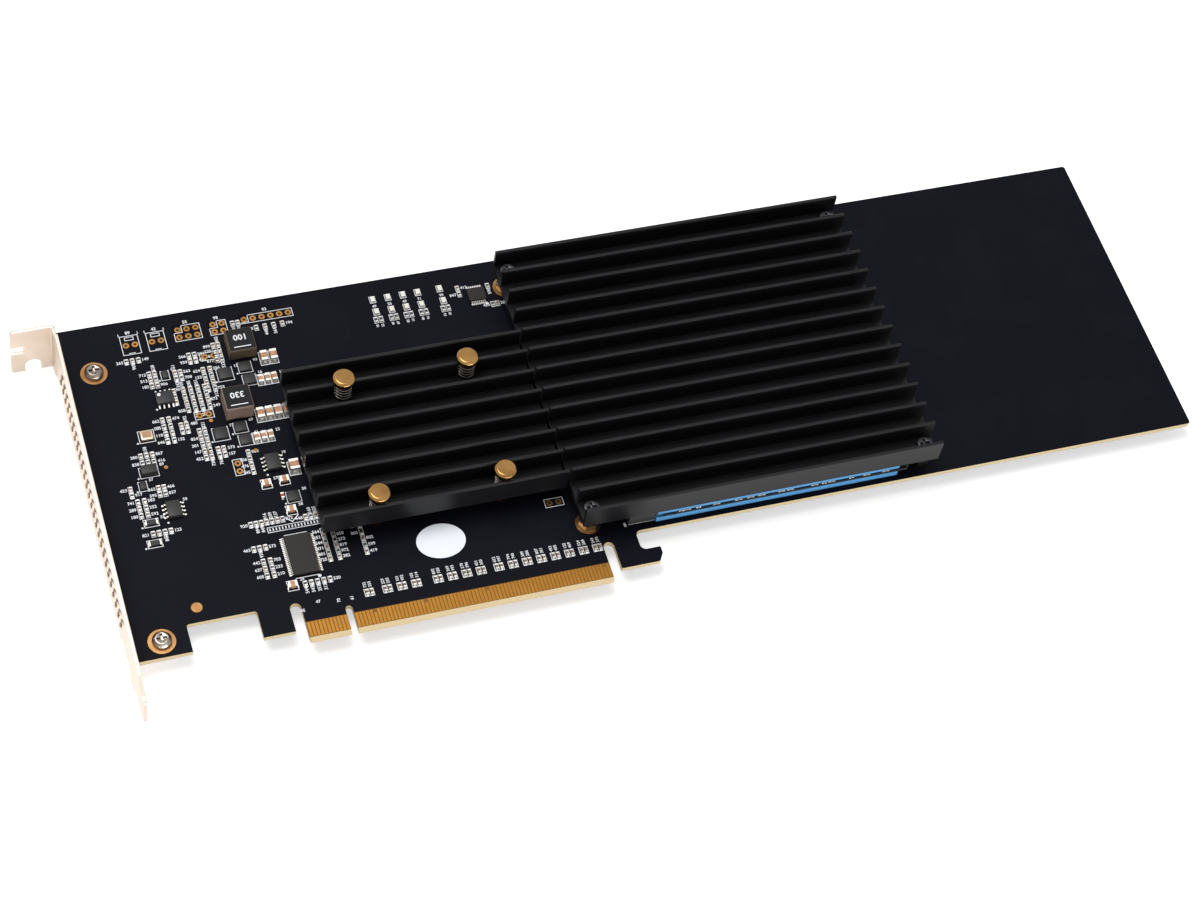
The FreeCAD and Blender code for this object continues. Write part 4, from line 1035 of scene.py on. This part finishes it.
class CARD_OT_small_parts(bpy.types.Operator):
    """Chip capacitors, resistors and lamps, each a body between two plated and soldered ends"""
    bl_idname = "card.small_parts"
    bl_label = "Small Parts"

    def execute(self, context):
        for node, slot, body, share in (
                ("bulk_capacitors", "capacitor", "capacitor", CAP_SHARE),
                ("filter_capacitors", "capacitor", "capacitor", CAP_SHARE),
                ("coupling_capacitors", "capacitor", "dark_capacitor", CAP_SHARE),
                ("small_capacitors", "capacitor", "dark_capacitor", CAP_SHARE),
                ("small_resistors", "resistor", "resistor", CAP_SHARE),
                ("led_resistors", "resistor", "resistor", CAP_SHARE),
                ("status_leds", "led", "led", 0.2),
                ("two_lead_parts", "chip_black", "chip_black", 0.1)):
            terminal_chips(f"{node}_visual", slot, box_places(node), body, share, [node])
        fuse = (Vector(FUSE_CENTRE), Vector(FUSE_SIZE), False)
        terminal_chips("fuse_visual", "resistor", [fuse], "red_part", CAP_SHARE)
        return {"FINISHED"}


class CARD_OT_leaded_chips(bpy.types.Operator):
    """Leaded packages, with rows of gull-wing leads"""
    bl_idname = "card.leaded_chips"
    bl_label = "Leaded Chips"

    def execute(self, context):
        for node, epoxy in (("memory_chip", "memory_black"), ("led_driver", "memory_black"),
                            ("eight_pin_chips", "chip_black")):
            edged(node, settings().chip_edge, epoxy, slot="chip_black")
        coat("eight_pin_leads", "lead_metal")
        for node, count, pitch, turn in (("memory_chip", MEMORY_LEADS, MEMORY_LEAD_PITCH, 0.0),
                                         ("led_driver", DRIVER_LEADS, DRIVER_LEAD_PITCH, math.pi / 2)):
            low, high = solids(node)[0]
            half = (high.y - low.y if turn else high.x - low.x) / 2
            seed = bpy.data.meshes.new("seed")
            seed.from_pydata([(0.0, 0.0, 0.0)], [], [])
            leads = grown(f"{node}_leads", seed, group("lead_rows", lead_row_group), {
                "Count": count, "Pitch": pitch * MM, "Half Body": half * MM, "Reach": 1.15 * MM,
                "Width": 0.32 * MM, "Height": 0.55 * MM, "Material": finish("lead_metal")})
            middle = centre_of(low, high)
            leads.data.transform(Matrix.Translation(Vector((middle.x, middle.y, 0.01)) * MM)
                                 @ Matrix.Rotation(turn, 4, "Z"))
            place_piece(leads, "lead_metal")
        return {"FINISHED"}


class CARD_OT_holes(bpy.types.Operator):
    """Plated header holes, spare footprints and test points"""
    bl_idname = "card.holes"
    bl_label = "Plated Holes"

    def execute(self, context):
        def plated(name, spots, pad, hole):
            places = [(Vector((x, y, 0.012)), Vector((1.0, 1.0, 1.0)), False) for x, y in spots]
            made = grown(name, points_mesh(places), group("plated_holes", plated_hole_group), {
                "Pad Radius": pad * MM, "Hole Radius": hole * MM,
                "Plating": finish("plated_hole"), "Hole Shade": finish("hole_painted_shade")})
            place_piece(made, "gold")

        header_spots = [spot for cx, cy, columns, rows, _, _ in HEADERS
                        for spot in header_pins(cx, cy, columns, rows)]
        for x, y, along_y in SPARE_HOLES:
            columns, rows = (1, 2) if along_y else (2, 1)
            header_spots.extend(header_pins(x, y, columns, rows))
        plated("header_holes", header_spots, *HEADER_PAD)
        plated("test_points", TEST_POINTS, *TEST_PAD)
        return {"FINISHED"}


def box_at(x, y, half_x, half_y):
    """The left, right, front and back of a box round a centre."""
    return x - half_x, x + half_x, y - half_y, y + half_y


def box_round(low, high, side, end):
    """The left, right, front and back of a box that stands side and end away from a part."""
    return low.x - side, high.x + side, low.y - end, high.y + end


def overlap(first, second):
    return first[0] < second[1] and first[1] > second[0] and first[2] < second[3] and first[3] > second[2]


def coupling_pairs():
    """The outer corners of each pair of coupling capacitors."""
    boxes = solids("coupling_capacitors")
    return [(low, high) for (low, _), (_, high) in zip(boxes[::2], boxes[1::2])]


def mark_headers(ink, width):
    """Boxes round the pin headers, with a first-pin box or a jumper's picture, and round spare holes."""
    for cx, cy, columns, rows, long, wide in HEADERS:
        x0, x1, y0, y1 = box_at(cx, cy, long / 2, wide / 2)
        ink.outline(x0, x1, y0, y1, width)
        if rows == 1 and columns == 2:
            ink.outline(cx - 1.3, cx + 1.3, y1 - 1.7, y1 - 0.5, width)
            ink.bar(x0 - width, x0, y1, y1 + 0.9)
            ink.bar(x1, x1 + width, y1, y1 + 0.9)
            ink.bar(cx - 0.9, cx + 0.9, y0 + 0.4, y0 + 0.4 + width)
        else:
            ink.outline(x0, x0 + PIN_PITCH, y1 - PIN_PITCH, y1, width)
    for x, y, along_y in SPARE_HOLES:
        ink.outline(*(box_at(x, y, 1.4, 2.7) if along_y else box_at(x, y, 2.7, 1.4)), width)


def mark_packages(ink, width):
    """Outlines and polarity dots of the moulded and leaded packages."""
    for node, gap in (("power_controllers", 0.5), ("power_transistors", 0.35), ("oscillator", 0.55),
                      ("power_diode", 0.5), ("small_transistors", 0.45), ("two_lead_parts", 0.5)):
        for low, high in solids(node):
            ink.outline(*box_round(low, high, gap, gap), width)
            ink.disc(low.x - gap - 0.5, low.y - gap + 0.2, 0.28)
    for low, high in solids("eight_pin_chips"):
        ink.disc(low.x - 0.3, low.y - 1.0, 0.3)
    for low, high in (*solids("memory_chip"), *solids("led_driver")):
        ink.bar(low.x + 0.3, high.x - 0.3, low.y - 0.75, low.y - 0.55)
        ink.bar(low.x + 0.3, high.x - 0.3, high.y + 0.55, high.y + 0.75)
        ink.disc(high.x - 0.2, low.y - 1.1, 0.5)


def mark_chip_parts(ink, width):
    """Outlines round the capacitors, resistors and lamps."""
    for node, side in (("bulk_capacitors", 0.32), ("filter_capacitors", 0.3)):
        for low, high in solids(node):
            ink.outline(*box_round(low, high, side, 0.75), width)
    for node in ("small_capacitors", "small_resistors", "led_resistors"):
        for low, high in solids(node):
            side, end = (0.22, 0.34) if high.y - low.y > high.x - low.x else (0.34, 0.22)
            ink.outline(*box_round(low, high, side, end), 0.15)
    for low, high in solids("status_leds"):
        ink.outline(*box_round(low, high, 0.3, 0.4), 0.17)
    for low, high in coupling_pairs():
        ink.outline(*box_round(low, high, 0.3, 0.45), width)
        middle = (low.x + high.x) / 2
        ink.bar(middle - 0.09, middle + 0.09, low.y - 0.45, high.y + 0.45)


def mark_connectors(ink, width):
    """The line along the first drive socket, and the long footprint with the wings of its arrow."""
    low, high = solids("drive_socket_1")[0]
    ink.bar(low.x, high.x, low.y - 0.1, low.y + 0.1)
    ink.bar(low.x - 1.2, low.x - 0.5, low.y - 0.4, low.y + 0.8)
    x0, x1, y0, y1 = FINE_STRIP
    ink.outline(x0, x1, y0, y1, width)
    for i in range(FINE_STRIP_PADS):
        x = x0 + 0.75 + i * (x1 - x0 - 1.5) / (FINE_STRIP_PADS - 1)
        ink.bar(x - 0.17, x + 0.17, y0 + 0.45, y1 - 0.45)
    middle = (x0 + x1) / 2
    for side in (-1, 1):
        ink.polygon([(middle, y1 + 0.3), (middle + side * 2.2, y1 + 2.3),
                     (middle + side * 1.9, y1 + 2.4), (middle, y1 + 0.7)][::side])


class CARD_OT_printed_marks(bpy.types.Operator):
    """White outlines and polarity dots printed on the board"""
    bl_idname = "card.printed_marks"
    bl_label = "Printed Marks"

    def execute(self, context):
        low, high = max(solids("eight_pin_chips"), key=lambda ends: ends[1].y)
        dot = Flat(high.z, 0.02)
        dot.disc(low.x + 1.0, high.y - 1.0, 0.5)
        dot.piece("first_pin_dot", "label", WHITE_INK)
        ink = Flat(PRINT_LIFT)
        for mark in (mark_headers, mark_packages, mark_chip_parts, mark_connectors):
            mark(ink, settings().print_width / MM)
        ink.piece("printed_marks", "label", WHITE_INK)
        return {"FINISHED"}


class CARD_OT_printed_numbers(bpy.types.Operator):
    """Plain numbers printed beside the parts"""
    bl_idname = "card.printed_numbers"
    bl_label = "Printed Numbers"

    def execute(self, context):
        numbers = []
        rng = random.Random(5)

        def number(x, y, height, turned=False, digits=2):
            spot = Matrix.Translation(Vector((x, y, PRINT_LIFT + 0.004)) * MM)
            if turned:
                spot = spot @ Matrix.Rotation(math.pi / 2, 4, "Z")
            text = str(rng.randrange(10 ** (digits - 1), 10 ** digits))
            numbers.append((number_mesh(text, height), spot))

        for cx, cy, _, _, _, wide in HEADERS:
            number(cx, cy + wide / 2 + 0.9, 1.0)
        for node in ("power_controllers", "power_transistors", "filter_capacitors", "small_transistors",
                     "two_lead_parts", "eight_pin_chips", "oscillator", "power_diode"):
            for _, high in solids(node):
                number(high.x + 1.7, high.y + 0.5, 0.9)
        for low, high in coupling_pairs():
            for x in (low.x + 0.35, high.x - 0.35):
                number(x, high.y + 1.75, 0.85, True, 3)
        for low, high in solids("led_resistors"):
            number((low.x + high.x) / 2, low.y - 1.3, 0.75, True)
        for low, high in solids("status_leds")[::2]:
            number((low.x + high.x) / 2, high.y + 1.2, 0.9)
        taken = self.taken_boxes()
        for low, high in (*solids("small_capacitors"), *solids("small_resistors")):
            x, y = (low.x + high.x) / 2, (low.y + high.y) / 2
            for dx, dy, turned in NUMBER_SPOTS:
                half_x, half_y = (0.5, 0.85) if turned else (0.85, 0.5)
                spot = box_at(x + dx, y + dy, half_x, half_y)
                if not any(overlap(spot, other) for other in taken):
                    taken.append(spot)
                    number(x + dx, y + dy, 0.95, turned, 3)
                    break
        for x, y, turned in FINGER_NUMBERS:
            number(x, y, 0.9, turned)
        numbers_piece("printed_numbers", numbers)
        return {"FINISHED"}

    @staticmethod
    def taken_boxes():
        """The boxes on the board's face that a number may not cover."""
        taken = [box_at(cx, cy, long / 2, wide / 2) for cx, cy, _, _, long, wide in HEADERS]
        taken.append(FINE_STRIP)
        large = ("circuit_board", "bracket", "edge_contacts", "drive_heatsink", "switch_heatsink")
        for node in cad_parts:
            if node not in large:
                taken.extend(box_round(low, high, 0.3, 0.3)
                             for low, high in solids(node) if low.z < 1.0 < high.z + 1.0)
        return taken


# ---------------------------------------------------------------- studio, in metres

STAGE_CENTRE = (0.06, 0.05)              # where the floor lies and the lamps aim, about the card's middle
CAMERA_PLACE = (-0.13507, -0.36145, 0.66043)
CAMERA_TURN = (35.1102, -7.6199, -17.3176)       # degrees about X, Y and Z
WHITE = (1.0, 1.0, 1.0)


class CARD_OT_studio(bpy.types.Operator):
    """White studio with soft lights and the camera"""
    bl_idname = "card.studio"
    bl_label = "Studio"

    @staticmethod
    def background_level(graph, lit, shown):
        """One level for light bounced off matt surfaces, and another where it is seen or mirrored."""
        level, *others = [graph.add("ShaderNodeLightPath", output=f"Is {kind} Ray")
                          for kind in ("Camera", "Glossy", "Transmission")]
        for other in others:
            level = level.math("MAXIMUM", other)
        return graph.add("ShaderNodeMapRange", {"Value": level, "To Min": lit, "To Max": shown})

    def floor(self):
        """A pale floor just under the card."""
        graph = Graph("studio_floor")
        bm = bmesh.new()
        bmesh.ops.create_grid(bm, x_segments=1, y_segments=1, size=3.0)
        mesh = bpy.data.meshes.new("floor")
        bm.to_mesh(mesh)
        bm.free()
        mesh.materials.append(graph.finish(
            Base_Color=(0.8, 0.8, 0.8), Roughness=0.9, Specular_IOR_Level=0.0,
            Emission_Color=WHITE, Emission_Strength=self.background_level(graph, 0.0, 0.5)))
        floor = new_object("floor", mesh)
        floor.location = (*STAGE_CENTRE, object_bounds()[0].z - 0.0001)
        return floor

    @staticmethod
    def light(name, place, size, power):
        """A rectangular lamp aimed at the card."""
        data = bpy.data.lights.new(name, "AREA")
        data.shape = "RECTANGLE"
        data.size, data.size_y = size
        data.energy = power
        lamp = new_object(name, data)
        lamp.location = place
        aim = Vector((*STAGE_CENTRE, 0.0)) - Vector(place)
        lamp.rotation_euler = aim.to_track_quat("-Z", "Y").to_euler()
        return lamp

    @staticmethod
    def camera():
        data = bpy.data.cameras.new("camera")
        data.sensor_width = 36.0
        data.lens = 86.6
        data.shift_x = -0.0070
        data.shift_y = -0.0477
        data.clip_start = 0.05
        data.clip_end = 20.0
        camera = new_object("camera", data)
        camera.location = CAMERA_PLACE
        camera.rotation_euler = [math.radians(angle) for angle in CAMERA_TURN]
        return camera

    def execute(self, context):
        scene = context.scene
        look = settings()
        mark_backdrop(self.floor(),
                 self.light("key", (-0.3, 0.35, 1.45), (0.9, 0.7), look.key_light),
                 self.light("front", (0.3, -1.35, 0.24), (1.3, 0.3), look.front_light))
        graph = Graph("studio", "worlds", "Background")
        scene.world = graph.finish(Color=WHITE, Strength=self.background_level(graph, 0.4, 1.0))
        scene.view_settings.view_transform = "Standard"
        scene.camera = self.camera()
        return {"FINISHED"}


class CARD_PT_panel(bpy.types.Panel):
    """Card look"""
    bl_idname = "CARD_PT_panel"
    bl_label = "Adapter Card"
    bl_space_type = "VIEW_3D"
    bl_region_type = "UI"
    bl_category = "Card"

    def draw(self, context):
        layout = self.layout
        look = context.scene.card_look
        for name in CardLook.__annotations__:
            layout.prop(look, name)
        for operator in OPERATORS:
            layout.operator(operator.bl_idname)


OPERATORS = (
    CARD_OT_circuit_board, CARD_OT_bracket, CARD_OT_heatsinks, CARD_OT_fasteners, CARD_OT_push_pins,
    CARD_OT_drives, CARD_OT_power_parts, CARD_OT_small_parts, CARD_OT_leaded_chips, CARD_OT_holes,
    CARD_OT_printed_marks, CARD_OT_printed_numbers, CARD_OT_studio,
)
CLASSES = (CardLook, *OPERATORS, CARD_PT_panel)


def register():
    for cls in CLASSES:
        bpy.utils.register_class(cls)
    bpy.types.Scene.card_look = bpy.props.PointerProperty(type=CardLook)


def unregister():
    del bpy.types.Scene.card_look
    for cls in reversed(CLASSES):
        bpy.utils.unregister_class(cls)


def main():
    register()
    for operator in OPERATORS:
        section, name = operator.bl_idname.split(".")
        getattr(getattr(bpy.ops, section), name)()


if __name__ == "__main__":
    main()
